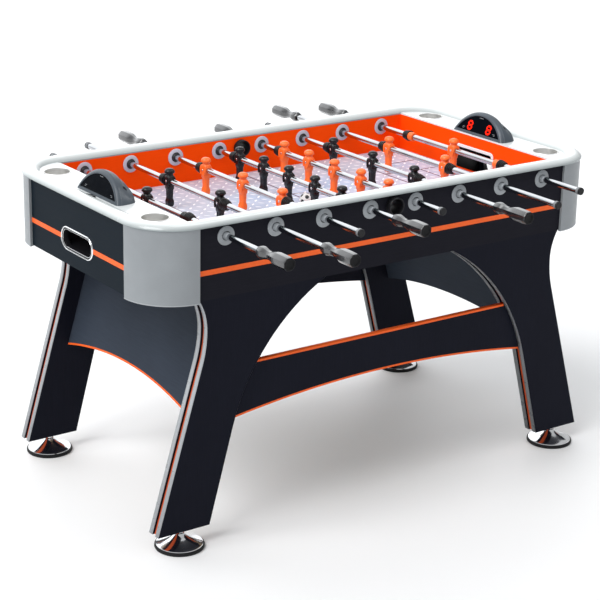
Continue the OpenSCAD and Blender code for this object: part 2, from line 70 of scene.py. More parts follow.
class Finish:
    """A procedural material: one Principled shader and helpers that vary it."""

    def __init__(self, name, color, roughness=0.5, metallic=0.0, coat=0.0):
        self.material = bpy.data.materials.new(name)
        self.material.use_nodes = True
        self.tree = self.material.node_tree
        self.shader = self.tree.nodes["Principled BSDF"]
        self.color = (*color, 1.0)
        self.set("Base Color", self.color)
        self.set("Roughness", roughness)
        self.set("Metallic", metallic)
        self.set("Coat Weight", coat)
        self.set("Coat Roughness", 0.06)
        self.coordinates = self.tree.nodes.new("ShaderNodeTexCoord").outputs["Object"]

    def set(self, socket, value):
        """Sets a constant on the shader, or links a varying value to it."""
        target = self.shader.inputs[socket]
        if isinstance(value, bpy.types.NodeSocket):
            self.tree.links.new(value, target)
        else:
            target.default_value = value
        return self

    def node(self, kind, inputs, output=0, **settings):
        """Adds a node with its inputs, by name or number, and gives one output."""
        made = self.tree.nodes.new(kind)
        for key, value in settings.items():
            setattr(made, key, value)
        for key, value in inputs.items():
            if isinstance(value, bpy.types.NodeSocket):
                self.tree.links.new(value, made.inputs[key])
            else:
                made.inputs[key].default_value = value
        return made.outputs[output]

    def math(self, operation, a, b=0.0):
        return self.node("ShaderNodeMath", {0: a, 1: b}, operation=operation)

    def plus(self, a, b):
        return self.math("ADD", a, b)

    def minus(self, a, b):
        return self.math("SUBTRACT", a, b)

    def times(self, a, b):
        return self.math("MULTIPLY", a, b)

    def noise(self, per_mm, detail=3.0, stretch=None, rough=0.55):
        """Noise from 0 to 1 whose grains are about 1 / per_mm across, or stretched."""
        where = self.coordinates
        if stretch:
            where = self.node("ShaderNodeMapping", {"Vector": where, "Scale": stretch})
        return self.node("ShaderNodeTexNoise", {
            "Vector": where, "Scale": per_mm / MM, "Detail": detail, "Roughness": rough})

    def between(self, factor, low, high, start=0.3, end=0.7):
        """Maps a factor to a range of values."""
        return self.node("ShaderNodeMapRange", {
            "Value": factor, "From Min": start, "From Max": end,
            "To Min": low, "To Max": high})

    def blend(self, factor, a, b):
        """Mixes two colours."""
        return self.node("ShaderNodeMix", {"Factor": factor, 6: a, 7: b}, output=2,
                         data_type="RGBA")

    def shade(self, factor, dark, light):
        """The base colour, darkened or lightened by a factor over the surface."""
        a = tuple(c * dark for c in self.color[:3]) + (1.0,)
        b = tuple(min(1.0, c * light) for c in self.color[:3]) + (1.0,)
        self.set("Base Color", self.blend(self.between(factor, 0.0, 1.0), a, b))
        return self

    def bump(self, height, distance):
        """Raises the surface by a height map, distance millimetres high."""
        self.set("Normal", self.node("ShaderNodeBump", {
            "Height": height, "Strength": 1.0, "Distance": distance * MM}))
        return self


def moulded(name, color, roughness, grain=1.2, depth=0.02, coat=0.0, vary=0.12, specular=0.5,
            coat_index=1.5):
    """Moulded plastic or rubber: fine grain, and slow changes of tone and gloss."""
    made = Finish(name, color, roughness, coat=coat)
    made.set("Specular IOR Level", specular)
    made.set("Coat IOR", coat_index)
    made.shade(made.noise(0.012, 4.0), 1.0 - vary, 1.0 + vary)
    made.set("Roughness", made.between(made.noise(0.05, 4.0), roughness - 0.06, roughness + 0.08))
    made.bump(made.noise(grain, 2.0), depth)
    return made.material


def laminate(name, color, roughness=0.4, along=0, vary=0.18):
    """Board with a printed laminate skin: faint grain along one axis, fine texture."""
    made = Finish(name, color, roughness)
    made.set("IOR", 1.1)
    stretch = [1.0, 1.0, 1.0]
    stretch[along] = 0.05
    grain = made.noise(0.35, 6.0, stretch=tuple(stretch), rough=0.6)
    clouds = made.noise(0.004, 3.0)
    tone = made.plus(made.times(grain, 0.6), made.times(clouds, 0.4))
    made.shade(tone, 1.0 - vary, 1.0 + vary)
    made.set("Roughness", made.between(grain, roughness - 0.05, roughness + 0.07))
    made.bump(grain, 0.03)
    return made.material


def chrome(name, color=(0.86, 0.87, 0.88), roughness=0.07):
    """Polished plating with a few faint smudges."""
    made = Finish(name, color, roughness, metallic=1.0)
    smudge = made.noise(0.02, 5.0)
    made.set("Roughness", made.between(smudge, roughness * 0.7, roughness * 1.7))
    made.shade(made.noise(0.015, 2.0), 0.93, 1.06)
    return made.material


def brushed(name, color, roughness=0.3):
    """Sheet metal brushed round an upright axis."""
    made = Finish(name, color, roughness, metallic=1.0)
    lines = made.noise(0.9, 3.0, stretch=(0.03, 0.03, 1.0), rough=0.7)
    made.shade(lines, 0.82, 1.08)
    made.set("Roughness", made.between(lines, roughness - 0.06, roughness + 0.12))
    made.bump(lines, 0.012)
    return made.material


def orange_peel(made, roughness):
    """The faintly uneven gloss of smooth moulded plastic."""
    made.set("Roughness", made.between(made.noise(0.03, 4.0), roughness, roughness + 0.08))
    made.bump(made.noise(0.12, 2.0), 0.01)
    return made.material


def enamel(name, color, roughness=0.16):
    """Glossy smooth plastic with a clear surface and faint orange peel."""
    made = Finish(name, color, roughness, coat=0.6)
    made.shade(made.noise(0.006, 2.0), 0.97, 1.03)
    return orange_peel(made, roughness)


# Height in millimetres over which the painted shade at the rail's foot fades into the white
RAIL_PAINTED_SHADE_HEIGHT = 16.0


def rail_enamel_with_painted_shade(name):
    """Glossy white, with a painted grey-blue shade along the foot of the rail's outer face that fades into
    the white above it.
    """
    made = Finish(name, (0.84, 0.86, 0.86), 0.2, coat=0.6)
    foot = box("top_rail")[0].z * MM
    height = made.node("ShaderNodeSeparateXYZ", {0: made.coordinates}, output=2)
    # Painted shade: dark grey-blue at the rail's foot, blending into the white a short height above it
    clear = made.math("POWER", made.between(height, 0.0, 1.0, foot, foot + RAIL_PAINTED_SHADE_HEIGHT * MM), 0.9)
    white = made.blend(made.noise(0.006, 2.0), (0.71, 0.74, 0.735, 1), (0.75, 0.78, 0.775, 1))
    made.set("Base Color", made.blend(clear, (0.22, 0.26, 0.265, 1), white))
    return orange_peel(made, 0.2)


def raw_board(name, color):
    """Pressed wood fibre: short, mottled fibres in every direction."""
    made = Finish(name, color, 0.8)
    fibres = made.noise(0.6, 6.0, rough=0.7)
    made.shade(fibres, 0.7, 1.2)
    made.bump(fibres, 0.08)
    return made.material


TREAD_PITCH = 27.0


def field_print(name):
    """Printed playing surface: a tread plate pattern over slow lavender tints."""
    made = Finish(name, (0.62, 0.62, 0.74), 0.42)
    made.set("IOR", 1.2)
    split = made.node("ShaderNodeSeparateXYZ", {0: made.coordinates}).node
    u, v = (made.math("DIVIDE", split.outputs[i], TREAD_PITCH * MM) for i in (0, 1))
    # Each cell of the grid holds one bar, which leans the other way in its neighbours
    parity = made.math("PINGPONG", made.plus(made.math("FLOOR", u), made.math("FLOOR", v)), 1.0)
    across = made.minus(made.math("FRACT", u), 0.5)
    along = made.minus(made.math("FRACT", v), 0.5)
    turn = made.minus(made.times(parity, 2.0), 1.0)
    long_way = made.plus(across, made.times(along, turn))
    short_way = made.minus(across, made.times(along, turn))
    taper = made.minus(0.2, made.times(made.math("POWER", long_way, 2.0), 0.62))
    inside = made.minus(taper, made.math("ABSOLUTE", short_way))
    bar = made.between(inside, 0.0, 1.0, 0.0, 0.05)
    beside = made.minus(made.plus(taper, 0.05), made.math("ABSOLUTE", made.plus(short_way, 0.06)))
    shadow = made.between(beside, 0.0, 1.0, 0.0, 0.06)
    pink = made.between(made.noise(0.0035, 2.0), 0.0, 1.0, 0.42, 0.62)
    blue = made.between(made.noise(0.005, 2.0, stretch=(1.0, 0.8, 3.0)), 0.0, 1.0, 0.5, 0.68)
    base = made.blend(pink, (0.56, 0.60, 0.70, 1), (0.59, 0.56, 0.67, 1))
    base = made.blend(blue, base, (0.46, 0.56, 0.74, 1))
    speckle = made.between(made.noise(0.25, 4.0), 0.0, 0.22)
    base = made.blend(speckle, base, (0.40, 0.40, 0.50, 1))
    base = made.blend(made.times(shadow, 0.4), base, (0.27, 0.26, 0.37, 1))
    shine = made.between(made.noise(0.03, 2.0), 0.75, 1.0, 0.35, 0.6)
    made.set("Base Color", made.blend(made.times(bar, shine), base, (0.96, 0.96, 1.0, 1)))
    made.bump(bar, 0.05)
    return made.material


def lit(name, color, strength):
    """A glowing display segment."""
    made = Finish(name, color, 0.4)
    made.set("Specular IOR Level", 0.1)
    made.set("Emission Color", (*color, 1.0))
    made.set("Emission Strength", made.between(made.noise(0.4, 1.0), strength * 0.85, strength * 1.1))
    return made.material


BLACK_BOARD = laminate("black_laminate", (0.0128, 0.0128, 0.0180), 0.42)
LEG_BOARD = laminate("leg_laminate", (0.0098, 0.0106, 0.0172), 0.42, along=2)
END_BOARD = laminate("charcoal_laminate", (0.0080, 0.0130, 0.0190), 0.42, along=1)
ARCH_BOARD = laminate("arch_laminate", (0.036, 0.045, 0.062), 0.42, along=1)
ORANGE_WALL = laminate("orange_laminate", (0.96, 0.07, 0.002), 0.36, vary=0.05)
ORANGE_EDGE = moulded("orange_edge_band", (0.86, 0.12, 0.015), 0.5, vary=0.06, specular=0.2)
# Edges of the middle leg boards: the orange edge band made darker, as painted shade for their recess between
# the leg boards
CORE_EDGE_PAINTED_SHADE = moulded("core_edge_band_painted_shade", (0.58, 0.085, 0.02), 0.5, vary=0.08, specular=0.2)
ORANGE_STRIPE = moulded("orange_stripe", (0.88, 0.125, 0.018), 0.45, vary=0.05, specular=0.2)
WHITE_RAIL = rail_enamel_with_painted_shade("white_rail")
DECK_WHITE = enamel("deck_white", (0.735, 0.76, 0.76), 0.2)
SILVER_CAP = moulded("silver_cap", (0.262, 0.280, 0.294), 0.38, grain=0.8, vary=0.05, specular=0.3)
SILVER_TRIM = moulded("silver_edge_trim", (0.36, 0.38, 0.40), 0.3, vary=0.05)
FIELD = field_print("field_print")
FIELD_LINE = moulded("field_line_ink", (0.10, 0.012, 0.035), 0.5, vary=0.2, specular=0.1)
BOARD = raw_board("raw_fibreboard", (0.36, 0.27, 0.17))
OUTER_BEARING = moulded("bearing_grey", (0.29, 0.31, 0.33), 0.42)
INNER_BEARING = moulded("bearing_pale", (0.50, 0.50, 0.58), 0.4)
BEARING_RING = moulded("bearing_ring_black", (0.012, 0.013, 0.016), 0.5)
BLACK_PLASTIC = moulded("black_plastic", (0.008, 0.008, 0.010), 0.34, specular=0.2)
WHITE_PLASTIC = enamel("white_plastic", (0.78, 0.78, 0.79))
CHROME = chrome("chrome_trim")
ROD_CHROME = chrome("rod_chrome", (0.55, 0.56, 0.58), 0.1)
FOOT_CHROME = chrome("foot_chrome", (0.84, 0.84, 0.85), 0.1)
CUP_METAL = brushed("cup_metal", (0.74, 0.73, 0.71), 0.34)
SCORER_SHELL = moulded("scorer_shell", (0.048, 0.062, 0.078), 0.36, grain=0.9)
SCORER_GLASS = moulded("scorer_window", (0.0012, 0.0022, 0.0045), 0.14, depth=0.004, specular=0.03)
DIGIT_ON = lit("digit_lit", (0.9, 0.012, 0.0), 0.5)
DIGIT_OFF = moulded("digit_dark", (0.0020, 0.0032, 0.0060), 0.16, depth=0.004, specular=0.03)
MARK = moulded("scale_mark_white", (0.22, 0.23, 0.24), 0.5)
CIRCUIT = moulded("circuit_board", (0.02, 0.11, 0.05), 0.5, grain=0.3)
BOLT_STEEL = brushed("bolt_steel", (0.42, 0.43, 0.44))
BLACK_MAN = moulded("black_player", (0.006, 0.006, 0.008), 0.26, grain=0.6, specular=0.35)
ORANGE_MAN = moulded("orange_player", (0.95, 0.15, 0.018), 0.34, grain=0.6, vary=0.05)
RUBBER = moulded("bumper_rubber", (0.007, 0.007, 0.008), 0.34, grain=0.7, specular=0.4)
FOOT_RUBBER = moulded("foot_rubber", (0.010, 0.010, 0.011), 0.6, grain=0.9, specular=0.2)
GRIP = moulded("grip_plastic", (0.009, 0.0095, 0.012), 0.3, grain=0.8, coat=1.0, coat_index=1.75)
GRIP_END = moulded("grip_end_plug", (0.006, 0.006, 0.007), 0.5, grain=0.8, specular=0.15)
CAP_RUBBER = moulded("rod_cap_rubber", (0.010, 0.010, 0.012), 0.4, specular=0.25)
CAP_COLLAR = moulded("rod_cap_collar", (0.20, 0.21, 0.22), 0.35)
SCREW = chrome("screw_steel", (0.75, 0.76, 0.78), 0.16)
BUTTON = moulded("button_plastic", (0.004, 0.004, 0.005), 0.5, specular=0.1)
BALL_WHITE = moulded("ball_white", (0.82, 0.82, 0.80), 0.36)
BALL_BLACK = moulded("ball_black", (0.012, 0.012, 0.013), 0.36)


# ------------ mesh building


def at(x, y, z, towards=(0, 0, 1)):
    """Frame of a turned part: its local Z points along towards."""
    return Matrix.Translation((x, y, z)) @ Vector(towards).to_track_quat("Z", "Y").to_matrix().to_4x4()


def linked(name, data):
    """A new object in the scene."""
    made = bpy.data.objects.new(name, data)
    bpy.context.scene.collection.objects.link(made)
    return made


def circle(radius, steps, height=0.0):
    """Points of a circle round Z."""
    angles = (2 * math.pi * i / steps for i in range(steps))
    return [Vector((radius * math.cos(a), radius * math.sin(a), height)) for a in angles]


def arc(cx, cy, radius, start, end, steps):
    """Points of an arc, with its angles in degrees."""
    angles = (math.radians(start + (end - start) * i / steps) for i in range(steps + 1))
    return [(cx + radius * math.cos(a), cy + radius * math.sin(a)) for a in angles]


# Signs of X and Y at each corner of a plan view, and the angle where its arc starts
QUARTERS = ((1, 1, 0), (-1, 1, 90), (-1, -1, 180), (1, -1, 270))


def quarter_turn(start, steps):
    """Unit vectors over a quarter turn from an angle in degrees."""
    return [Vector((x, y, 0)) for x, y in arc(0, 0, 1, start, start + 90, steps)]


def round_loop(half_x, half_y, radius, steps=12):
    """Points and outward normals round a rectangle with rounded corners."""
    loop = []
    for sx, sy, start in QUARTERS:
        centre = Vector((sx * (half_x - radius), sy * (half_y - radius), 0))
        loop += [(centre + out * radius, out) for out in quarter_turn(start, steps)]
    return loop


class Shape:
    """Faces of one piece, gathered in millimetres, each with a material number."""

    def __init__(self):
        self.bm = bmesh.new()

    def face(self, corners, material=0):
        made = self.bm.faces.new(corners)
        made.material_index = material

    def skin(self, rings, material=0, loop=False, caps=(False, False)):
        """Joins rings of points in order. loop also joins the last to the first."""
        rows = [[self.bm.verts.new(p) for p in ring] for ring in rings]
        count = len(rows[0])
        pairs = list(zip(rows, rows[1:])) + ([(rows[-1], rows[0])] if loop else [])
        looks = [material] * len(pairs) if isinstance(material, int) else material
        for look, (a, b) in zip(looks, pairs):
            for i in range(count):
                j = (i + 1) % count
                self.face((a[i], a[j], b[j], b[i]), look)
        if caps[0]:
            self.face(rows[0], looks[0])
        if caps[1]:
            self.face(rows[-1], looks[-1])

    def turn(self, profile, place=Matrix(), material=0, steps=48):
        """Turns (radius, height) points about local Z. A radius of 0 is closed by a cap."""
        rings = [[place @ p for p in circle(radius, steps, height)]
                 for radius, height in profile if radius > 0]
        closed = profile[0][0] > 0 and profile[0] == profile[-1]
        if closed:
            rings = rings[:-1]
        self.skin(rings, material, loop=closed, caps=(profile[0][0] == 0, profile[-1][0] == 0))

    def sweep(self, path, section, place=Matrix()):
        """Carries a closed section of (out, up) points round a closed path."""
        rings = [[place @ (point + out * o + Vector((0, 0, u))) for o, u in section]
                 for point, out in path]
        self.skin(rings, loop=True)

    def prism(self, outline, low, high, place=Matrix()):
        """A closed outline in local X and Y, drawn out from low to high along Z."""
        rings = [[place @ Vector((x, y, z)) for x, y in outline] for z in (low, high)]
        self.skin(rings, caps=(True, True))

    def block(self, one, other):
        """A box between two opposite corners."""
        x, y, z = (sorted(pair) for pair in zip(one, other))
        self.prism([(x[0], y[0]), (x[1], y[0]), (x[1], y[1]), (x[0], y[1])], *z)

    def mesh(self, name):
        """The gathered faces as a mesh in metres, all facing outwards."""
        bmesh.ops.recalc_face_normals(self.bm, faces=self.bm.faces)
        bmesh.ops.scale(self.bm, vec=(MM, MM, MM), verts=self.bm.verts)
        made = bpy.data.meshes.new(name)
        self.bm.to_mesh(made)
        self.bm.free()
        return made

    def piece(self, name, body, materials, replaces=(), crease=35.0, bevel=0.0):
        """Makes the finished object and hangs it on its body."""
        mesh = self.mesh(name)
        mesh.shade_smooth()
        mesh.set_sharp_from_angle(angle=math.radians(crease))
        made = linked(name, mesh)
        for material in materials:
            mesh.materials.append(material)
        if bevel:
            rounding = made.modifiers.new("rounded_edges", "BEVEL")
            rounding.width = bevel * MM
            rounding.segments = 3
            rounding.angle_limit = math.radians(30)
            rounding.harden_normals = True
        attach(made, body)
        if replaces:
            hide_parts(*replaces)
        return made


def banding(name, node, chosen, thickness, material):
    """A thin band laid on those faces of a CAD node that chosen(centre, normal) picks."""
    bm = bmesh.new()
    bm.from_mesh(NODES[node].data)
    bm.normal_update()
    unwanted = [f for f in bm.faces if not chosen(f.calc_center_median() / MM, f.normal)]
    bmesh.ops.delete(bm, geom=unwanted, context="FACES")
    bmesh.ops.remove_doubles(bm, verts=bm.verts, dist=0.00001)
    bmesh.ops.recalc_face_normals(bm, faces=bm.faces)
    mesh = bpy.data.meshes.new(name)
    bm.to_mesh(mesh)
    bm.free()
    mesh.shade_smooth()
    mesh.set_sharp_from_angle(angle=math.radians(25))
    mesh.materials.clear()
    mesh.materials.append(material)
    made = linked(name, mesh)
    skin = made.modifiers.new("band_thickness", "SOLIDIFY")
    skin.thickness = thickness * MM
    skin.offset = 1.0
    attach(made, "cabinet")


def paint(node, material):
    """Gives a CAD node its material."""
    mesh = NODES[node].data
    mesh.materials.clear()
    mesh.materials.append(material)


# ------------ main sizes

CUP_LIP = 1.2
RUNNING_FIT = 0.08
CLAMPED_FIT = 0.05
field_x, field_y, field_z = box("playfield")[1]
RAIL_LOW, RAIL_HIGH = box("top_rail")
PANEL_LOW, PANEL_HIGH = box("side_panels")
END_LOW, END_HIGH = box("end_panels")
panel_y = PANEL_HIGH.y
end_x = END_HIGH.x
deck_z = box("cup_holders")[1].z - CUP_LIP
ROD_LOW, ROD_HIGH = box("rod_1")
rod_z = (ROD_LOW.z + ROD_HIGH.z) / 2
rod_x = {n: (box(f"rod_{n}")[0].x + box(f"rod_{n}")[1].x) / 2 for n in RODS}
rod_r = (ROD_HIGH.x - ROD_LOW.x) / 2
running_bore = rod_r + RUNNING_FIT
clamped_bore = rod_r + CLAMPED_FIT


# ------------ cabinet

STRIPE_Z = 709.0
STRIPE_HALF = 6.5
STRIPE_PROUD = 0.5
STRIPE_GAP_Y = 81.0
# Cross-section of a cap's thin foot rim, as (out, up) from the cap's lower edge
CAP_RIM = ((-2.0, -0.2), (0.2, -0.2), (0.6, 0.3), (0.6, 1.6), (0.2, 2.2), (-2.0, 2.2))


def cabinet():
    """Boards, stripes and corner caps of the cabinet."""
    paint("side_panels", BLACK_BOARD)
    paint("end_panels", END_BOARD)
    paint("inner_walls", ORANGE_WALL)
    paint("cabinet_floor", BOARD)
    paint("ball_return_boxes", BLACK_PLASTIC)
    paint("corner_caps", SILVER_CAP)
    low_z, high_z = STRIPE_Z - STRIPE_HALF, STRIPE_Z + STRIPE_HALF
    stripes = Shape()
    for side in SIDES:
        stripes.block((PANEL_LOW.x, side * panel_y, low_z),
                      (PANEL_HIGH.x, side * (panel_y + STRIPE_PROUD), high_z))
    for end in ENDS:
        for y in ((END_LOW.y, -STRIPE_GAP_Y), (STRIPE_GAP_Y, END_HIGH.y)):
            stripes.block((end * end_x, y[0], low_z), (end * (end_x + STRIPE_PROUD), y[1], high_z))
    stripes.piece("panel_stripes", "cabinet", [ORANGE_STRIPE], bevel=0.2)
    low, high = box("corner_caps")
    radius = high.x - PANEL_HIGH.x
    # A real raised rim at each cap's foot, drawn in the paler trim silver as a painted highlight along the
    # caps' lower edges
    rims = Shape()
    for sx, sy, start in QUARTERS:
        centre = Vector((sx * PANEL_HIGH.x, sy * (high.y - radius), low.z))
        rims.skin([[centre + way * (radius + out) + Vector((0, 0, up)) for out, up in CAP_RIM]
                   for way in quarter_turn(start, 24)], caps=(True, True))
    rims.piece("corner_cap_rims", "cabinet", [SILVER_TRIM])


def top_rail():
    """White rail: a rounded bead all round, and deck plates with cup holes."""
    half_x, half_y, top_z = RAIL_HIGH
    low_z = RAIL_LOW.z
    radius = half_y - END_HIGH.y
    bead = 46.0
    rise = top_z - deck_z
    crown_r = (bead * bead / 4 + rise * rise) / (2 * rise)
    lean = math.degrees(math.asin(bead / 2 / crown_r))
    crown = arc(-bead / 2, top_z - crown_r, crown_r, 90 - lean, 90 + lean, 12)
    section = [(-1.2, low_z), (-0.3, low_z + 0.3), (0, low_z + 1.2), (0, deck_z - 0.6)]
    section += [(-0.25, deck_z + 0.2)] + crown[1:-1]
    section += [(-bead - 0.6, deck_z + 0.15), (-bead - 0.6, low_z)]
    rail = Shape()
    rail.sweep(round_loop(half_x, half_y, radius, 24), section)
    inner_half_y = half_y - bead
    for side in SIDES:
        rail.block((-field_x, side * field_y, low_z), (field_x, side * (inner_half_y + 1), deck_z))
    rail.piece("rail_bead", "cabinet", [WHITE_RAIL], replaces=["top_rail"], crease=28)
    for end in ENDS:
        deck_plate(end, half_x - bead, inner_half_y, radius - bead, low_z)


CUP_X, CUP_Y, CUP_HOLE = 623.0, 249.5, 34.1
CUP_STEPS = 64


def deck_plate(end, half_x, half_y, radius, low_z):
    """Flat deck at one end, cut out for its two cup holders by drawing round them."""
    rim = arc(CUP_X, CUP_Y, CUP_HOLE, 0, 360, CUP_STEPS)[:-1]
    edge = [edge_point(math.atan2(y - CUP_Y, x - CUP_X), half_x, half_y, radius) for x, y in rim]
    deck = Shape()

    def ring(points, sy, z):
        return [(end * x, sy * y, z) for x, y in points]

    for sy in SIDES:
        for z in (low_z, deck_z):
            deck.skin([ring(rim, sy, z), ring(edge, sy, z)])
        deck.skin([ring(rim, sy, low_z), ring(rim, sy, deck_z)])
    for sy in SIDES:
        deck.face([deck.bm.verts.new((end * field_x, sy * y, z)) for y, z in (
            (0, low_z), (half_y, low_z), (half_y, deck_z), (0, deck_z))])
    bmesh.ops.remove_doubles(deck.bm, verts=deck.bm.verts, dist=0.01)
    deck.piece(f"rail_deck_{ENDS[end]}", "cabinet", [DECK_WHITE])


def edge_point(angle, half_x, half_y, radius):
    """Where a ray from a cup's centre meets the edge of its half of the deck."""
    dx, dy = math.cos(angle), math.sin(angle)
    reach = []
    for start, step, near, far in ((CUP_X, dx, field_x, half_x), (CUP_Y, dy, 0, half_y)):
        if abs(step) > 1e-9:
            reach.append(((near if step < 0 else far) - start) / step)
    t = min(r for r in reach if r > 0)
    x, y = CUP_X + dx * t, CUP_Y + dy * t
    cx, cy = half_x - radius, half_y - radius
    if x > cx and y > cy:
        b = dx * (CUP_X - cx) + dy * (CUP_Y - cy)
        c = (CUP_X - cx) ** 2 + (CUP_Y - cy) ** 2 - radius * radius
        t = -b + math.sqrt(max(0.0, b * b - c))
        x, y = CUP_X + dx * t, CUP_Y + dy * t
    return x, y


def cup_holders():
    """Pressed metal cups with a rolled lip and a stepped bottom."""
    low, high = box("cup_holders")
    depth = high.z - low.z
    bore = 32.5
    profile = [(0, 1.5), (bore - 9, 1.5), (bore - 8, 2.6), (bore - 4, 3.2), (bore - 1.2, 4.6),
               (bore, 8), (bore, depth - 2.4), (bore + 0.6, depth - 0.5), (bore + 2, depth),
               (bore + 4, depth - 0.4), (bore + 4.4, depth - 1.1), (bore + 1.5, depth - 1.2),
               (bore + 1.5, 3), (bore - 2, 0.2), (0, 0)]
    for number, (sx, sy) in enumerate(((-1, -1), (1, -1), (-1, 1), (1, 1)), 1):
        cup = Shape()
        cup.turn(profile, at(sx * CUP_X, sy * CUP_Y, deck_z - depth + CUP_LIP), steps=72)
        cup.piece(f"cup_holder_{number}", "cabinet", [CUP_METAL],
                  replaces=["cup_holders"])


LINE = 4.0
LINE_HEIGHT = 0.15
# Depth and half width of the penalty and goal areas
AREAS = ((226.0, 193.0), (105.0, 96.0))
CIRCLE_R = 72.0
SPOT_R = 6.0


def playfield():
    """Printed board with its dark red field lines as thin ink."""
    paint("playfield", FIELD)
    ink = Shape()
    low, high, half = field_z, field_z + LINE_HEIGHT, LINE / 2

    def bar(x0, y0, x1, y1):
        ink.block((min(x0, x1) - half, min(y0, y1) - half, low),
                  (max(x0, x1) + half, max(y0, y1) + half, high))

    bar(0, -field_y + LINE, 0, field_y - LINE)
    for end in ENDS:
        goal_x = end * (field_x - LINE)
        for depth, reach in AREAS:
            x = end * (field_x - depth)
            bar(x, -reach, x, reach)
            bar(x, reach, goal_x, reach)
            bar(x, -reach, goal_x, -reach)
    ink.sweep(round_loop(CIRCLE_R, CIRCLE_R, CIRCLE_R, 18),
              [(-half, low), (half, low), (half, high), (-half, high)])
    ink.turn([(0, low), (SPOT_R, low), (SPOT_R, high), (0, high)], steps=32)
    ink.piece("field_lines", "cabinet", [FIELD_LINE])


def goals():
    """White goal frames, rounded at the front."""
    high = box("goal_frames")[1]
    thick, width, corner = 2.4, 9.0, 14.0
    path = goal_path(high.y, field_z, high.z, corner)
    section = [(0, 0), (0, thick - 0.9), (-0.9, thick), (-width + 0.9, thick), (-width, thick - 0.9),
               (-width, 0)]
    for end, side in ENDS.items():
        bezel = Shape()
        rings = [[Vector((end * (field_x - up), y + oy * out, z + oz * out)) for out, up in section]
                 for y, z, oy, oz in path]
        bezel.skin(rings, caps=(True, True))
        bezel.piece(f"goal_frame_{side}", "cabinet", [WHITE_PLASTIC],
                    replaces=["goal_frames"])


def goal_path(half, low, top, corner):
    """Outer edge of a goal frame, up one side, over and down, with outward normals."""
    path = [(-half, low, -1, 0)]
    for start, cy in ((180, -half + corner), (90, half - corner)):
        for i in range(9):
            a = math.radians(start - 90 * i / 8)
            path.append((cy + corner * math.cos(a), top - corner + corner * math.sin(a),
                         math.cos(a), math.sin(a)))
    path.append((half, low, 1, 0))
    return path


def ball_returns():
    """Chrome stadium rings with a stepped black throat."""
    low, high = box("ball_return_bezels")
    half_y, mid_z = high.y, (low.z + high.z) / 2
    half_z = (high.z - low.z) / 2
    ring = [(0, 0), (-0.3, 1.4), (-1.2, 2.5), (-2.4, 3.0), (-3.4, 2.6), (-4.0, 1.4), (-4.2, 0),
            (-4.4, -3.0), (-3.4, -3.0), (-3.4, 0)]
    throat = [(-4.0, 0.4), (-5.2, 0.8), (-7.6, 0.4), (-8.2, -2.0), (-9.4, -5.0), (-9.8, -14.6),
              (-8.0, -14.8), (-4.0, -3.0)]
    inner_line = [(-7.8, 0.2), (-8.3, 0.9), (-8.9, 0.5), (-9.0, -1.6), (-8.0, -1.8)]
    path = round_loop(half_y, half_z, half_z, 16)
    for end, side in ENDS.items():
        place = at(end * end_x, 0, mid_z, (end, 0, 0))
        level = place.to_3x3().inverted() @ Vector((0, 1, 0))
        place = place @ Matrix.Rotation(math.atan2(level.y, level.x), 4, "Z")
        bezel = Shape()
        bezel.sweep(path, ring, place)
        bezel.sweep(path, inner_line, place)
        bezel.piece(f"return_bezel_{side}", "cabinet", [CHROME],
                    replaces=["ball_return_bezels"])
        lining = Shape()
        lining.sweep(path, throat, place)
        lining.piece(f"return_throat_{side}", "cabinet", [BLACK_PLASTIC])


# ------------ bearings and entries


FLANGE_R = 24.0
HOLE_R = 11.6
RING_R = 13.6


def bearings():
    """Rod bearings: a stepped flange on each face of the wall, a black ring and a nose."""
    bore = running_bore
    flange = [(HOLE_R, 0), (FLANGE_R - 0.6, 0), (FLANGE_R, 0.6), (FLANGE_R - 0.2, 1.8),
              (FLANGE_R - 1.2, 2.6), (FLANGE_R - 3.4, 3.0), (FLANGE_R - 3.8, 2.6), (FLANGE_R - 4.2, 2.9),
              (RING_R + 3.0, 3.3), (RING_R + 2.6, 2.9), (RING_R + 2.2, 3.3), (HOLE_R + 0.6, 3.5),
              (HOLE_R, 2.8), (HOLE_R, 0)]
    washer = [(9.6, 0), (HOLE_R, 0), (HOLE_R, 0.8), (9.6, 0.8), (9.6, 0)]
    nose = [(bore, 0), (9.9, 0), (9.9, 3.6), (9.5, 8.0), (9.4, 14.6), (9.0, 15.7), (8.6, 16.0),
            (bore, 15.6), (bore, 0)]
    inner_flange = [(RING_R, 0), (FLANGE_R - 0.6, 0), (FLANGE_R, 0.6), (FLANGE_R - 0.3, 1.8),
                    (FLANGE_R - 1.6, 2.6), (RING_R + 1.0, 3.2), (RING_R, 2.4), (RING_R, 0)]
    inner_nose = [(bore, 0), (RING_R, 0), (RING_R, 1.8), (11.8, 2.6), (10.2, 4.4), (9.5, 7.4),
                  (bore, 8.0), (bore, 0)]
    for n in RODS:
        for side, name in SIDES.items():
            outer = Shape()
            place = at(rod_x[n], side * panel_y, rod_z, (0, side, 0))
            for look, profile in ((0, flange), (1, washer), (0, nose)):
                outer.turn(profile, place, look)
            outer.piece(f"bearing_outer_{name}_{n}", "cabinet",
                        [OUTER_BEARING, BEARING_RING], replaces=["rod_bearings"])
            inner = Shape()
            place = at(rod_x[n], side * field_y, rod_z, (0, -side, 0))
            for look, profile in ((0, inner_flange), (1, inner_nose)):
                inner.turn(profile, place, look)
            inner.piece(f"bearing_inner_{name}_{n}", "cabinet",
                        [INNER_BEARING, BEARING_RING])


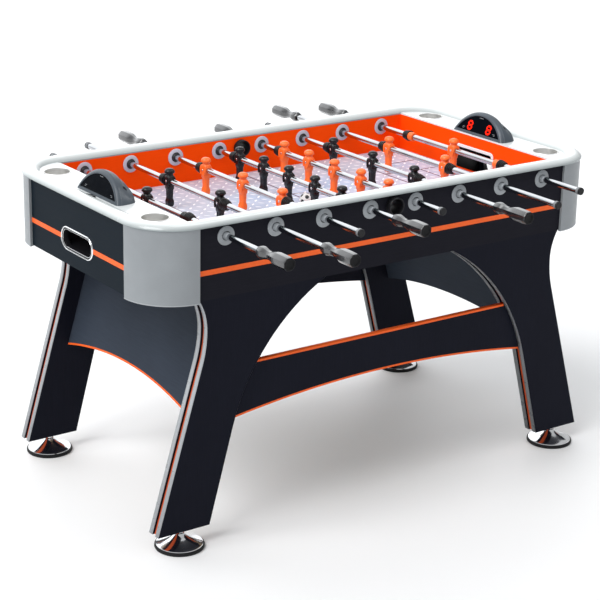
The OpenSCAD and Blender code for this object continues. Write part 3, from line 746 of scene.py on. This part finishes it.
def ball_entries():
    """Black ball entry cups, ribbed outside, with a dished and toothed mouth."""
    bore, barrel, mouth, proud = 19.0, 21.0, 23.5, 18.0
    half_wall = (panel_y - field_y) / 2 - 0.02
    ribs, teeth = 4, 18
    step = (proud - 3.5) / ribs
    profile = [(barrel, -half_wall), (barrel, 0.2)]
    for i in range(ribs):
        h = 1.0 + i * (proud - 3.5) / ribs
        profile += [(mouth - 1.6, h), (mouth - 0.3, h + 0.5), (mouth, h + 1.2),
                    (mouth - 0.3, h + step - 1.2), (mouth - 1.6, h + step - 0.6)]
    profile += [(mouth - 0.2, proud - 1.6), (mouth - 0.8, proud - 0.4), (mouth - 2.0, proud),
                (bore + 0.8, proud - 1.0), (bore, proud - 3.0), (bore, -half_wall), (barrel, -half_wall)]
    tooth = [(bore + 0.4, -0.9), (mouth - 1.4, -1.1), (mouth - 1.4, 1.1), (bore + 0.4, 0.9)]
    for side, where in SIDES.items():
        for face, towards, name in ((side * panel_y, side, "outer"), (side * field_y, -side, "inner")):
            cup = Shape()
            place = at(0, face, rod_z, (0, towards, 0))
            cup.turn(profile, place, steps=72)
            for i in range(teeth):
                turned = place @ Matrix.Rotation(2 * math.pi * i / teeth, 4, "Z")
                cup.prism(tooth, proud - 1.2, proud - 0.1, turned)
            cup.piece(f"ball_entry_{name}_{where}", "cabinet", [BLACK_PLASTIC],
                      replaces=["ball_entries"])


# ------------ scorers

SCORER_TILT = math.radians(16.0)
SCORER_R = 107.0
SCORER_SINK = 50.5
SCORER_Y = -14.5
SCORER_DEPTH = 58.0
SCORER_LIP = 7.0
ARCH_STEPS = 40
FOOT_STEPS = 12
WINDOW_FACE = 2.0
DIGIT_Y = 39.3
DIGIT_H = 25.0
INK = 0.15
# (depth along the tilted axis, radius) of the shell over its top
DOME = [(0.0, 110.0), (0.8, 112.4), (2.0, 115.0)]
DOME += [(depth, radius) for radius, depth in arc(85.3, 14.0, 34.5, -13, 48, 14)]
DOME += [(44.0, 108.5), (52.0, 114.0), (63.0, 125.0)]
# The same along its flanks, which stay full where the top falls away
FLANK = DOME[:3] + [(8.0, 119.0), (14.0, 120.2), (30.0, 121.5), (42.0, 121.0), (50.0, 118.5),
                    (56.0, 114.5), (60.0, 110.0), (63.0, 105.0)]
# Shares of the way to the shell's back, and how far its surface is let in at some of them
SHELL_SHARES = (1.0, 0.985, 0.95, 0.87, 0.78, 0.69, 0.6, 0.51, 0.42, 0.34, 0.27, 0.225, 0.215, 0.2,
                0.19, 0.15, 0.11, 0.07, 0.04, 0.02, 0.0)
SHELL_INSETS = {1.0: 1.6, 0.985: 0.4, 0.215: 0.7, 0.2: 0.7}
# Middle, height and width of the small marks on the window's face
MARKS = ((64.0, 17.0, 9.0), (66.0, 13.5, 6.0), (-64.0, 17.0, 9.0), (-66.0, 13.5, 6.0),
         (0.0, 51.5, 16.0))
MARK_HALF = 0.6


def along(profile, depth):
    """Radius of a profile at a depth."""
    for (s0, r0), (s1, r1) in zip(profile, profile[1:]):
        if depth <= s1:
            return r0 + (r1 - r0) * (depth - s0) / (s1 - s0)
    return profile[-1][1]


def dome_radius(depth, side):
    """Radius of the shell, at side 0 over its top and at -1 and 1 along its foot."""
    share = min(1.0, max(0.0, (abs(side) - 0.5) / 0.45))
    share = share * share * (3 - 2 * share)
    return along(DOME, depth) * (1 - share) + along(FLANK, depth) * share


def scorer_point(front_x, depth, angle, radius):
    """A point on a circle round a scorer's tilted axis, at an angle from its top."""
    up = radius * math.cos(angle) - SCORER_SINK
    return Vector((front_x + depth * math.cos(SCORER_TILT) + up * math.sin(SCORER_TILT),
                   SCORER_Y + radius * math.sin(angle),
                   deck_z - depth * math.sin(SCORER_TILT) + up * math.cos(SCORER_TILT)))


def foot_angle(depth, radius, lip=0.0):
    """Angle at which a circle of the scorer comes down to its foot."""
    sunk = SCORER_SINK + depth * math.tan(SCORER_TILT) + lip / math.cos(SCORER_TILT)
    return math.acos(min(1.0, sunk / radius))


def closed_along_foot(ring):
    """A ring's open arch, closed by a straight line of points."""
    return ring + [ring[-1].lerp(ring[0], i / FOOT_STEPS) for i in range(1, FOOT_STEPS)]


def shell_ring(front_x, share, inset):
    """Ring over the shell, at a share of the way from its tilted front to its back."""

    def spot(depth, side):
        radius = dome_radius(depth, side) - inset
        return scorer_point(front_x, depth, side * foot_angle(depth, radius), radius)

    ring = []
    for i in range(ARCH_STEPS + 1):
        side = -1 + 2 * i / ARCH_STEPS
        first = spot(0.0, side).x
        goal = first + share * (front_x + SCORER_DEPTH - first)
        low, high = 0.0, DOME[-1][0]
        for _ in range(20):
            middle = (low + high) / 2
            low, high = (middle, high) if spot(middle, side).x < goal else (low, middle)
        ring.append(spot(low, side))
    return closed_along_foot(ring)


def window_ring(front_x, depth, radius, lip):
    """Ring in the tilted plane of the window, closed above the shell's lip."""
    reach = foot_angle(depth, radius, lip)
    return closed_along_foot([scorer_point(front_x, depth, reach * (2 * i / ARCH_STEPS - 1), radius)
                              for i in range(ARCH_STEPS + 1)])


def plate(shape, front_x, points):
    """A thin patch on the window's face with corners at (across, up)."""
    rings = []
    for proud in (0.0, INK):
        spots = ((y, SCORER_SINK + h) for y, h in points)
        rings.append([scorer_point(front_x, WINDOW_FACE - proud, math.atan2(y, up), math.hypot(y, up))
                      for y, up in spots])
    shape.skin(rings, caps=(True, True))


def digit(shape, front_x, middle):
    """The seven bars of one display digit, on the window of a scorer."""
    half_w, half_h, half_bar, skew, gap = 7.75, 11.5, 2.8, -0.1, 0.35
    spans = [(complex(-half_w + gap, v), complex(half_w - gap, v)) for v in (half_h, 0, -half_h)]
    spans += [(complex(u, v + gap), complex(u, v + half_h - gap))
              for v in (0, -half_h) for u in (-half_w, half_w)]
    for start, end in spans:
        run = (end - start) / abs(end - start) * half_bar
        side = run * 1j
        outline = (start, start + run + side, end - run + side, end, end - run - side,
                   start + run - side)
        plate(shape, front_x, [(middle + p.real + skew * p.imag, DIGIT_H + p.imag) for p in outline])


def scorers():
    """Arched electronic scorers: shell, dark window, two digits and small marks."""
    low, high = box("scorer_housings")
    for side, front_x, digit_look in (("left", low.x, DIGIT_OFF),
                                      ("right", high.x - SCORER_DEPTH, DIGIT_ON)):
        shell = Shape()
        rings = [shell_ring(front_x, share, SHELL_INSETS.get(share, 0.0)) for share in SHELL_SHARES]
        rings += [window_ring(front_x, depth, SCORER_R + out, SCORER_LIP - out)
                  for depth, out in ((0.0, 1.0), (0.3, 0.2), (4.0, 0.0))]
        shell.skin(rings, caps=(True, True))
        made = shell.piece(f"scorer_shell_{side}", "cabinet", [SCORER_SHELL],
                           replaces=["scorer_housings"], crease=30)
        bored(made, button_place(side), [(0, -12), (9.0, -12), (9.0, 0.6), (6.5, 0.6), (6.5, 8.0), (0, 8.0)])
        rim = Shape()
        rim.turn([(6.5, 2.0), (8.4, 2.0), (8.4, 3.6), (7.9, 4.2), (7.1, 4.2), (6.5, 3.7), (6.5, 2.0)],
                 button_place(side), steps=40)
        rim.piece(f"button_rim_{side}", "cabinet", [BUTTON])
        window = Shape()
        window.skin([window_ring(front_x, d, SCORER_R - 0.1, SCORER_LIP + 0.1)
                     for d in (WINDOW_FACE, WINDOW_FACE + 1.2)], caps=(True, True))
        window.piece(f"scorer_window_{side}", "cabinet", [SCORER_GLASS],
                     replaces=["scorer_windows"])
        digits = Shape()
        for y in (-DIGIT_Y, DIGIT_Y):
            digit(digits, front_x, y)
        digits.piece(f"scorer_digits_{side}", "cabinet", [digit_look])
        marks = Shape()
        for middle, height, wide in MARKS:
            plate(marks, front_x, [(middle + u * wide / 2, height + v * MARK_HALF)
                                   for u, v in ((-1, -1), (1, -1), (1, 1), (-1, 1))])
        marks.piece(f"scorer_marks_{side}", "cabinet", [MARK])
    paint("scorer_boards", CIRCUIT)


def button_place(side):
    """Frame at the middle of a push button, with local Z outwards."""
    joint = next(j for j in frame["joints"] if j["name"] == f"button_{side}_press")
    low, high = box(f"scorer_button_{side}")
    return at(*((low + high) / 2), -Vector(joint["axis"]))


def bored(made, place, profile):
    """Cuts a turned hole into a finished piece."""
    cutter = Shape()
    cutter.turn(profile, place)
    tool = linked("cutter", cutter.mesh("cutter"))
    cut = made.modifiers.new("bore", "BOOLEAN")
    cut.operation = "DIFFERENCE"
    cut.solver = "EXACT"
    cut.object = tool
    whole = bpy.data.meshes.new_from_object(made.evaluated_get(bpy.context.evaluated_depsgraph_get()))
    made.modifiers.remove(cut)
    made.data = whole
    whole.set_sharp_from_angle(angle=math.radians(30))
    bpy.data.objects.remove(tool)


def scorer_buttons():
    """Dished push buttons with a stop flange, on the scorers' front flanks."""
    half = 5.4
    for side in ENDS.values():
        place = button_place(side)
        button = Shape()
        button.turn([(0, -half), (6, -half), (6, half - 1.0), (5.7, half - 0.3), (5.0, half),
                     (3.6, half - 0.2), (1.8, half - 0.7), (0, half - 0.8)], place, steps=36)
        button.turn([(8, -half + 3.0), (8, -half + 4.6), (6, -half + 4.6), (6, -half + 3.0),
                     (8, -half + 3.0)], place, steps=36)
        button.piece(f"push_button_{side}", f"button_{side}", [BUTTON],
                     replaces=[f"scorer_button_{side}"])


# ------------ legs


def legs():
    """Leg boards with silver edge trims, orange middle boards, arches and bolts."""
    paint("leg_boards", LEG_BOARD)
    # The middle boards take the darker orange, painted shade for their recess
    paint("leg_cores", CORE_EDGE_PAINTED_SHADE)
    paint("stretchers", LEG_BOARD)
    paint("end_arches", ARCH_BOARD)
    paint("leg_bolts", BOLT_STEEL)

    def leg_edge(centre, normal):
        return abs(normal.y) < 0.2 and abs(normal.z) < 0.95 and centre.z < PANEL_LOW.z - 0.5

    def stretcher_edge(_, normal):
        return abs(normal.y) < 0.2 and abs(normal.z) > 0.9

    def arch_edge(centre, normal):
        return normal.z < -0.8 and abs(normal.x) < 0.3 and centre.z < PANEL_LOW.z - 100

    banding("leg_edge_trims", "leg_boards", leg_edge, 0.7, SILVER_TRIM)
    banding("stretcher_edge_bands", "stretchers", stretcher_edge, 0.6, ORANGE_EDGE)
    banding("end_arch_edge_bands", "end_arches", arch_edge, 0.6, ORANGE_EDGE)
    edge_lines()


EDGE_TALL = 5.0
EDGE_PROUD = 0.3
STRETCHER_TOP_HALF = 407.0
# Middle height, radius and half length of the arched lower edges
STRETCHER_ARCH = (347.5, 3067.0, 469.0)
END_ARCH = (352.0, 1300.0, 326.5)
END_ARCH_LEAN = math.tan(math.radians(16.5))


def arched_line(lines, arch, steps, corner):
    """A thin moulding along an arched edge. corner(along, z, out) places its points."""
    middle, radius, reach = arch
    rings = []
    for i in range(steps + 1):
        along_edge = reach * (2 * i / steps - 1)
        z = middle - radius + math.sqrt(radius * radius - along_edge * along_edge)
        rings.append([corner(along_edge, z + up, out) for out, up in (
            (0, 0), (EDGE_PROUD, 0), (EDGE_PROUD, EDGE_TALL), (0, EDGE_TALL))])
    lines.skin(rings, caps=(True, True))


def edge_lines():
    """Rounded faces of the orange edge mouldings, as lines along the boards' outer faces."""
    high = box("stretchers")[1]
    lines = Shape()
    for side in SIDES:
        face = side * high.y
        lines.block((-STRETCHER_TOP_HALF, face, high.z - EDGE_TALL),
                    (STRETCHER_TOP_HALF, face + side * EDGE_PROUD, high.z))
        arched_line(lines, STRETCHER_ARCH, 36,
                    lambda x, z, out: Vector((x, face + side * out, z)))
    low, high = box("end_arches")
    for end in ENDS:
        arched_line(lines, END_ARCH, 30, lambda y, z, out: Vector(
            (end * (high.x - END_ARCH_LEAN * (z - low.z) + out), y, z)))
    lines.piece("edge_moulding_lines", "cabinet", [ORANGE_EDGE], crease=30)


STEM_R, THREAD_R, THREAD_PITCH = 5.0, 4.5, 1.5
THREAD_TURNS = 28


def levelers():
    """Leveling feet: rubber ring, flared chrome bell, nut and threaded stem."""
    for number in range(1, 5):
        node = f"leveler_{number}"
        low, high = box(node)
        radius = (high.x - low.x) / 2
        place = at((low.x + high.x) / 2, (low.y + high.y) / 2, 0)
        foot = Shape()
        foot.turn([(0, 0), (radius - 3.0, 0), (radius - 0.8, 0.8), (radius, 2.6), (radius, 6.4),
                   (radius - 0.6, 8.4), (radius - 2.4, 9.2), (radius - 5.0, 9.0), (0, 9.0)],
                  place, 1, steps=72)
        bell = [(0, 8.9), (radius - 4.4, 8.8), (radius - 3.6, 9.8), (radius - 4.2, 11.4),
                (radius - 6.0, 12.2)]
        bell += [(12.0 + (radius - 18.0) * (1 - i / 12) ** 1.75, 12.2 + 25.6 * (i / 12))
                 for i in range(1, 13)]
        foot.turn(bell + [(11.0, 38.6), (10.2, 39.0), (0, 39.0)], place, steps=72)
        foot.turn([(0, 38.8), (9.6, 38.8), (10.4, 39.4), (10.4, 45.0), (9.6, 45.6), (0, 45.6)],
                  place, steps=6)
        thread = [(STEM_R if i % 2 else THREAD_R, 45.2 + THREAD_PITCH / 2 * i)
                  for i in range(2 * THREAD_TURNS)]
        foot.turn([(0, 45.0)] + thread + [(0, high.z)], place, steps=24)
        foot.piece(f"leveling_foot_{number}", f"leveler_{number}",
                   [FOOT_CHROME, FOOT_RUBBER], replaces=[node], crease=40)


# ------------ rods, handles, bumpers

HANDLE_LENGTH = 125.0
CAP_LENGTH = 14.0
SCREW_FROM_START = 50.0
SCREW_SEAT = 9.3
PLUG_BANDS = 5
# (distance from the handle's inner end, half its width across the flats)
HANDLE_HALF = ((0, 8.6), (0.6, 10.0), (2.0, 11.8), (4.5, 13.2), (9, 14.2), (15, 14.5), (20, 14.4), (25, 13.4),
               (30, 12.2), (36, 10.7), (41, 10.1), (46, 10.1), (50, 10.5), (56, 12.0), (62, 13.8), (68, 15.3),
               (74, 16.2), (80, 16.5), (100, 16.4), (118, 15.9), (122, 15.2), (124.2, 14.2), (125, 13.2))


def octagon(half):
    """An eight-sided ring with softened corners: three points at each corner."""
    corner, spread = 22.5, 7.0
    tip = 0.985 * half / math.cos(math.radians(corner))
    side = half / math.cos(math.radians(corner - spread))
    ring = []
    for k in range(8):
        for offset, radius in ((-spread, side), (0, tip), (spread, side)):
            a = math.radians(corner + 45 * k + offset)
            ring.append((radius * math.cos(a), radius * math.sin(a)))
    return ring


def handle(n, side):
    """Eight-sided handle with its end plug and locking screw."""
    low, high = box(f"grip_{n}")
    end_y = low.y if side == FRONT else high.y
    start = end_y - side * HANDLE_LENGTH
    place = at(rod_x[n], start, rod_z, (0, side, 0))
    bands = ((6.0, clamped_bore), (0.0, clamped_bore)) + HANDLE_HALF + (
        (HANDLE_LENGTH - 0.4, 9.6), (HANDLE_LENGTH - 1.6, 9.2), (HANDLE_LENGTH - 1.8, 4.0))
    rings = [[place @ Vector((x, y, h)) for x, y in octagon(half)] for h, half in bands]
    looks = [0] * (len(rings) - 1 - PLUG_BANDS) + [1] * PLUG_BANDS
    grip = Shape()
    grip.skin(rings, looks, caps=(True, True))
    grip.piece(f"handle_{n}", f"rod_{n}", [GRIP, GRIP_END], replaces=[f"grip_{n}"],
               crease=24)
    screw = Shape()
    down = at(rod_x[n], start + side * SCREW_FROM_START, rod_z - SCREW_SEAT, (0, 0, -1))
    screw.turn([(0, -1.0), (2.9, -1.0), (2.9, 0.4), (2.5, 1.0), (1.6, 1.3), (0, 1.4)], down, steps=24)
    screw.piece(f"handle_screw_{n}", f"rod_{n}", [SCREW])


def rod_cap(n, side):
    """Rubber cap on the rod's plain end, with a paler collar."""
    low, high = box(f"grip_{n}")
    end_y = high.y if side == FRONT else low.y
    place = at(rod_x[n], end_y, rod_z, (0, side, 0))
    length = CAP_LENGTH
    cap = Shape()
    cap.turn([(0, 0.6), (4.0, 0.4), (7.8, 0), (9.4, 0.6), (10.0, 2.0), (10.0, length - 8.6)], place)
    cap.turn([(8.6, length - 9.0), (9.6, length - 9.0), (9.9, length - 8.2), (9.9, length - 0.9),
              (9.4, length - 0.1), (clamped_bore, length), (clamped_bore, 3.0), (0, 3.0)], place, 1)
    cap.piece(f"rod_cap_{n}", f"rod_{n}", [CAP_RUBBER, CAP_COLLAR])


def bumper(n, side):
    """Ribbed rubber bumper: a broad base by the player, ribs and a narrower nose."""
    low, high = box(f"bumpers_{n}")
    outer_y = low.y if side == FRONT else high.y
    length, ribs = 24.0, 3
    bore = running_bore
    profile = [(bore, 0), (14.6, 0), (15.5, 0.9), (15.5, 3.6), (14.8, 4.4)]
    step = (length - 7.5) / ribs
    for i in range(ribs):
        start = 5.0 + i * step
        peak = 14.9 - 1.1 * i
        profile += [(peak - 3.4, start), (peak - 3.2, start + 1.3), (peak - 0.8, start + 1.8),
                    (peak, start + 2.6), (peak, start + step - 1.0), (peak - 0.8, start + step - 0.4)]
    profile += [(10.4, length - 2.6), (10.6, length - 0.8), (9.8, length), (bore, length), (bore, 0)]
    made = Shape()
    made.turn(profile, at(rod_x[n], outer_y - side * length, rod_z, (0, side, 0)))
    made.piece(f"bumper_{SIDES[side]}_{n}", f"slider_{n}", [RUBBER],
               replaces=[f"bumpers_{n}"])


# ------------ players

PLAYER_WIDTH = 28.0
BODY_STEPS = 36
COLLAR_LENGTH = 18.0
# Height from the rod, half depth along X, half width along Y, squareness, groove depth
BODY_SECTIONS = (
    (-69.0, 5.6, 8.6, 3.6, 0.00), (-68.4, 6.8, 9.6, 3.8, 0.02), (-66.0, 8.8, 10.6, 4.0, 0.05),
    (-63.0, 9.6, 10.9, 4.0, 0.08), (-55.0, 9.8, 11.0, 3.8, 0.10), (-51.5, 8.8, 10.6, 3.2, 0.14),
    (-49.0, 7.8, 10.4, 2.8, 0.20), (-44.0, 7.6, 10.3, 2.6, 0.24), (-36.0, 8.2, 10.7, 2.6, 0.26),
    (-29.0, 8.2, 10.8, 2.6, 0.24), (-24.0, 8.6, 11.2, 2.6, 0.20), (-22.0, 9.4, 11.6, 2.8, 0.12),
    (-21.0, 10.2, 12.0, 3.0, 0.08), (-14.0, 10.8, 12.2, 2.8, 0.05), (-9.0, 11.0, 12.0, 2.6, 0.02),
    (-6.0, 10.6, 11.8, 2.5, 0.00), (0.0, 11.2, 12.4, 2.5, 0.00), (6.0, 11.8, 13.0, 2.5, 0.00),
    (10.0, 11.8, 13.2, 2.5, 0.00), (12.8, 11.0, 12.4, 2.4, 0.00), (14.6, 9.8, 10.6, 2.2, 0.00),
    (15.6, 9.0, 9.2, 2.0, 0.00), (17.0, 8.8, 8.8, 2.0, 0.00),
)


def body_ring(centre, section):
    """One superellipse ring of a player's body, dented where its legs meet."""
    z, deep, wide, power, groove = section
    ring = []
    for i in range(BODY_STEPS):
        a = 2 * math.pi * i / BODY_STEPS
        c, s = math.cos(a), math.sin(a)
        x = deep * math.copysign(abs(c) ** (2 / power), c)
        y = wide * math.copysign(abs(s) ** (2 / power), s)
        x *= 1 - groove * math.exp(-(y / 2.0) ** 2)
        ring.append(centre + Vector((x, y, z)))
    return ring


# Points of a bent arm, as (out in front, out to the side, up), and its radius there
ARM = ((6.0, 11.0, 12.0), (8.6, 11.2, 7.0), (9.8, 11.0, 0.0), (10.6, 10.2, -7.0), (10.4, 8.8, -13.0))
ARM_RADII = (2.4, 2.9, 2.7, 2.4, 2.1)
SHOULDER = ((0, 0), (10.4, 0), (10.4, 11.6), (10.1, 12.8), (9.4, 13.6), (8.8, 13.8), (0, 13.8))
HEAD = ((0, 13.5), (9.4, 13.6), (8.8, 15.4), (9.2, 17.0), (10.2, 18.6), (11.0, 21.0), (10.6, 23.0),
        (0, 23.2))
CAP = ((0, 21.8), (11.0, 22.0), (12.8, 21.8), (13.7, 22.3), (14.0, 23.4), (13.9, 25.2), (13.2, 27.6),
       (11.8, 29.9), (9.6, 31.8), (6.8, 33.1), (3.4, 33.8), (0, 34.0))
PIN = ((0, -1), (3.0, -1), (3.0, 0.5), (2.5, 0.9), (1.0, 1.0), (0, 0.7))


def arm(shape, centre, front, side):
    """A bent arm: rings across its path of points."""
    points = [centre + Vector((front * x, side * y, z)) for x, y, z in ARM]
    rings = []
    for i, (point, radius) in enumerate(zip(points, ARM_RADII)):
        ahead = points[min(i + 1, len(points) - 1)] - points[max(i - 1, 0)]
        turn = ahead.to_track_quat("Z", "Y").to_matrix()
        rings.append([point + turn @ p for p in circle(radius, 12)])
    shape.skin(rings, caps=(True, True))


def player(name, n, y, material):
    """One player: boots, legs, shorts, torso, arms, head and a domed cap."""
    centre = Vector((rod_x[n], y, rod_z))
    man = Shape()
    man.skin([body_ring(centre, s) for s in BODY_SECTIONS], caps=(True, True))
    for side in (-1, 1):
        for front in (-1, 1):
            arm(man, centre, front, side)
        man.turn(SHOULDER, at(*centre, (0, side, 0)), steps=40)
    man.turn(HEAD, at(*centre), steps=36)
    man.turn(CAP, at(*centre), steps=40)
    man.piece(name, f"rod_{n}", [material], replaces=[f"men_{n}"], crease=50)
    pin = Shape()
    for front in (-1, 1):
        pin.turn(PIN, at(centre.x + front * 11.0, centre.y, centre.z, (front, 0, 0)), steps=24)
    pin.piece(f"{name}_pin", f"rod_{n}", [SCREW])


def collar(name, n, y, material):
    """Stop collar on a goalkeeper's rod, with a groove round its middle."""
    ring = Shape()
    inner, length = clamped_bore, COLLAR_LENGTH
    ring.turn([(inner, 0), (11.6, 0), (12.5, 0.9), (12.5, 7.4), (11.9, 8.2), (11.9, 9.8), (12.5, 10.6),
               (12.5, 17.1), (11.6, length), (inner, length), (inner, 0)],
              at(rod_x[n], y - length / 2, rod_z, (0, 1, 0)), steps=40)
    ring.piece(name, f"rod_{n}", [material])


def players():
    """All players and collars, spaced as their CAD node says."""
    for n in RODS:
        low, high = box(f"men_{n}")
        count = ROD_MEN[n - 1]
        middle = (low.y + high.y) / 2
        dark = HANDLE_SIDE[n - 1] == FRONT
        material, slot = (BLACK_MAN, "black_player") if dark else (ORANGE_MAN, "orange_player")
        if count == 1:
            player(f"player_{n}_1", n, middle, material)
            for side, word in SIDES.items():
                y = middle + side * ((high.y - low.y) / 2 - COLLAR_LENGTH / 2)
                collar(f"collar_{n}_{word}", n, y, material)
            continue
        spacing = (high.y - low.y - PLAYER_WIDTH) / (count - 1)
        for i in range(count):
            player(f"player_{n}_{i + 1}", n, low.y + PLAYER_WIDTH / 2 + i * spacing, material)


# Cosine of the angle from a dark patch's middle to its edge
PATCH_EDGE = 0.947
SEAM_DEPTH, SEAM_WIDTH = 0.22, 0.008


def ball():
    """The ball: twelve dark patches on a white shell, with fine seams between panels."""
    low, high = box("ball")
    centre = (low + high) / 2
    radius = (high.z - low.z) / 2
    golden = (1 + math.sqrt(5)) / 2
    corners = []
    for a in (-1, 1):
        for b in (-golden, golden):
            corners += [Vector((0, a, b)), Vector((a, b, 0)), Vector((b, 0, a))]
    turn = Matrix.Rotation(math.radians(24), 3, "X") @ Matrix.Rotation(math.radians(-38), 3, "Z")
    corners = [turn @ c.normalized() for c in corners]
    shape = Shape()
    bmesh.ops.create_icosphere(shape.bm, subdivisions=6, radius=radius)
    for vert in shape.bm.verts:
        direction = vert.co.normalized()
        near = sorted((direction.dot(c) for c in corners), reverse=True)
        seam = min(abs(near[0] - PATCH_EDGE), (near[0] - near[1]) * 0.9 + (near[0] >= PATCH_EDGE))
        vert.co = direction * (radius - SEAM_DEPTH * math.exp(-(seam / SEAM_WIDTH) ** 2)) + centre
    for face in shape.bm.faces:
        direction = (face.calc_center_median() - centre).normalized()
        face.material_index = int(max(direction.dot(c) for c in corners) > PATCH_EDGE)
    shape.piece("match_ball", "ball", [BALL_WHITE, BALL_BLACK], replaces=["ball"],
                crease=60)


# ------------ camera, floor and light


def camera():
    """The camera at the photograph's viewing angle."""
    yaw, pitch, roll = math.radians(33.680), math.radians(-18.777), math.radians(0.651)
    ahead = Vector((math.sin(yaw) * math.cos(pitch), math.cos(yaw) * math.cos(pitch), math.sin(pitch)))
    right = Vector((math.cos(yaw), -math.sin(yaw), 0))
    up = right.cross(ahead)
    right, up = (right * math.cos(roll) + up * math.sin(roll), up * math.cos(roll) - right * math.sin(roll))
    data = bpy.data.cameras.new("view")
    data.sensor_width = 36.0
    data.lens = 105.58
    data.shift_x = 0.0874
    data.shift_y = -0.0092
    data.clip_end = 200.0
    made = linked("view", data)
    turn = Matrix((right, up, -ahead)).transposed().to_4x4()
    made.matrix_world = Matrix.Translation((-2.6685, -3.7199, 2.0027)) @ turn
    bpy.context.scene.camera = made


def light(name, kind, energy, towards):
    """A lamp that shines towards a direction."""
    lamp = bpy.data.lights.new(name, kind)
    lamp.energy = energy
    made = linked(name, lamp)
    made.rotation_euler = Vector(towards).to_track_quat("-Z", "Y").to_euler()
    return lamp, made


def sky():
    """World light: brighter from behind the table, and plain white to the camera."""
    world = bpy.data.worlds.new("studio")
    bpy.context.scene.world = world
    world.use_nodes = True
    nodes, links = world.node_tree.nodes, world.node_tree.links
    background = nodes["Background"]
    background.inputs["Color"].default_value = (0.96, 0.98, 1.0, 1)
    towards = nodes.new("ShaderNodeVectorMath")
    towards.operation = "DOT_PRODUCT"
    towards.inputs[1].default_value = Vector((0.12, 0.84, 0.46)).normalized()
    links.new(nodes.new("ShaderNodeTexCoord").outputs["Generated"], towards.inputs[0])
    glow = nodes.new("ShaderNodeMapRange")
    glow.interpolation_type = "SMOOTHSTEP"
    for socket, value in (("From Min", 0.62), ("From Max", 0.9), ("To Min", 0.54), ("To Max", 1.75)):
        glow.inputs[socket].default_value = value
    links.new(towards.outputs["Value"], glow.inputs["Value"])
    seen = nodes.new("ShaderNodeMath")
    seen.operation = "MAXIMUM"
    links.new(nodes.new("ShaderNodeLightPath").outputs["Is Camera Ray"], seen.inputs[0])
    links.new(glow.outputs["Result"], seen.inputs[1])
    links.new(seen.outputs["Value"], background.inputs["Strength"])


def studio():
    """Plain pale floor, a soft sun from the left, a strip light over the table and a sky."""
    floor = Finish("studio_floor", (0.93, 0.93, 0.93), 0.6)
    cool, warm = (0.925, 0.925, 0.93, 1), (0.935, 0.935, 0.935, 1)
    floor.set("Base Color", floor.blend(floor.noise(0.0005, 2.0), cool, warm))
    mesh = bpy.data.meshes.new("studio_floor")
    reach = 60.0
    mesh.from_pydata([(-reach, -reach, 0), (reach, -reach, 0), (reach, reach, 0), (-reach, reach, 0)],
                     [], [(0, 1, 2, 3)])
    mesh.materials.append(floor.material)
    linked("studio_floor", mesh)
    sky()
    sun = light("key", "SUN", 2.2, (0.9, 0.08, -1.0))[0]
    sun.angle = math.radians(42)
    strip, made = light("inner_fill", "AREA", 3.0, (0, 0.63, -0.65))
    strip.shape = "RECTANGLE"
    strip.size, strip.size_y = 1.2, 0.25
    made.location = (0.0, -0.30, 1.45)
    made.visible_camera = False
    view = bpy.context.scene.view_settings
    view.view_transform = "Standard"
    view.look = "None"


# ------------ build

cabinet()
top_rail()
cup_holders()
playfield()
goals()
ball_returns()
bearings()
ball_entries()
scorers()
scorer_buttons()
legs()
levelers()
for rod, handle_side in zip(RODS, HANDLE_SIDE):
    paint(f"rod_{rod}", ROD_CHROME)
    handle(rod, handle_side)
    rod_cap(rod, handle_side)
    for side in SIDES:
        bumper(rod, side)
players()
ball()
camera()
studio()
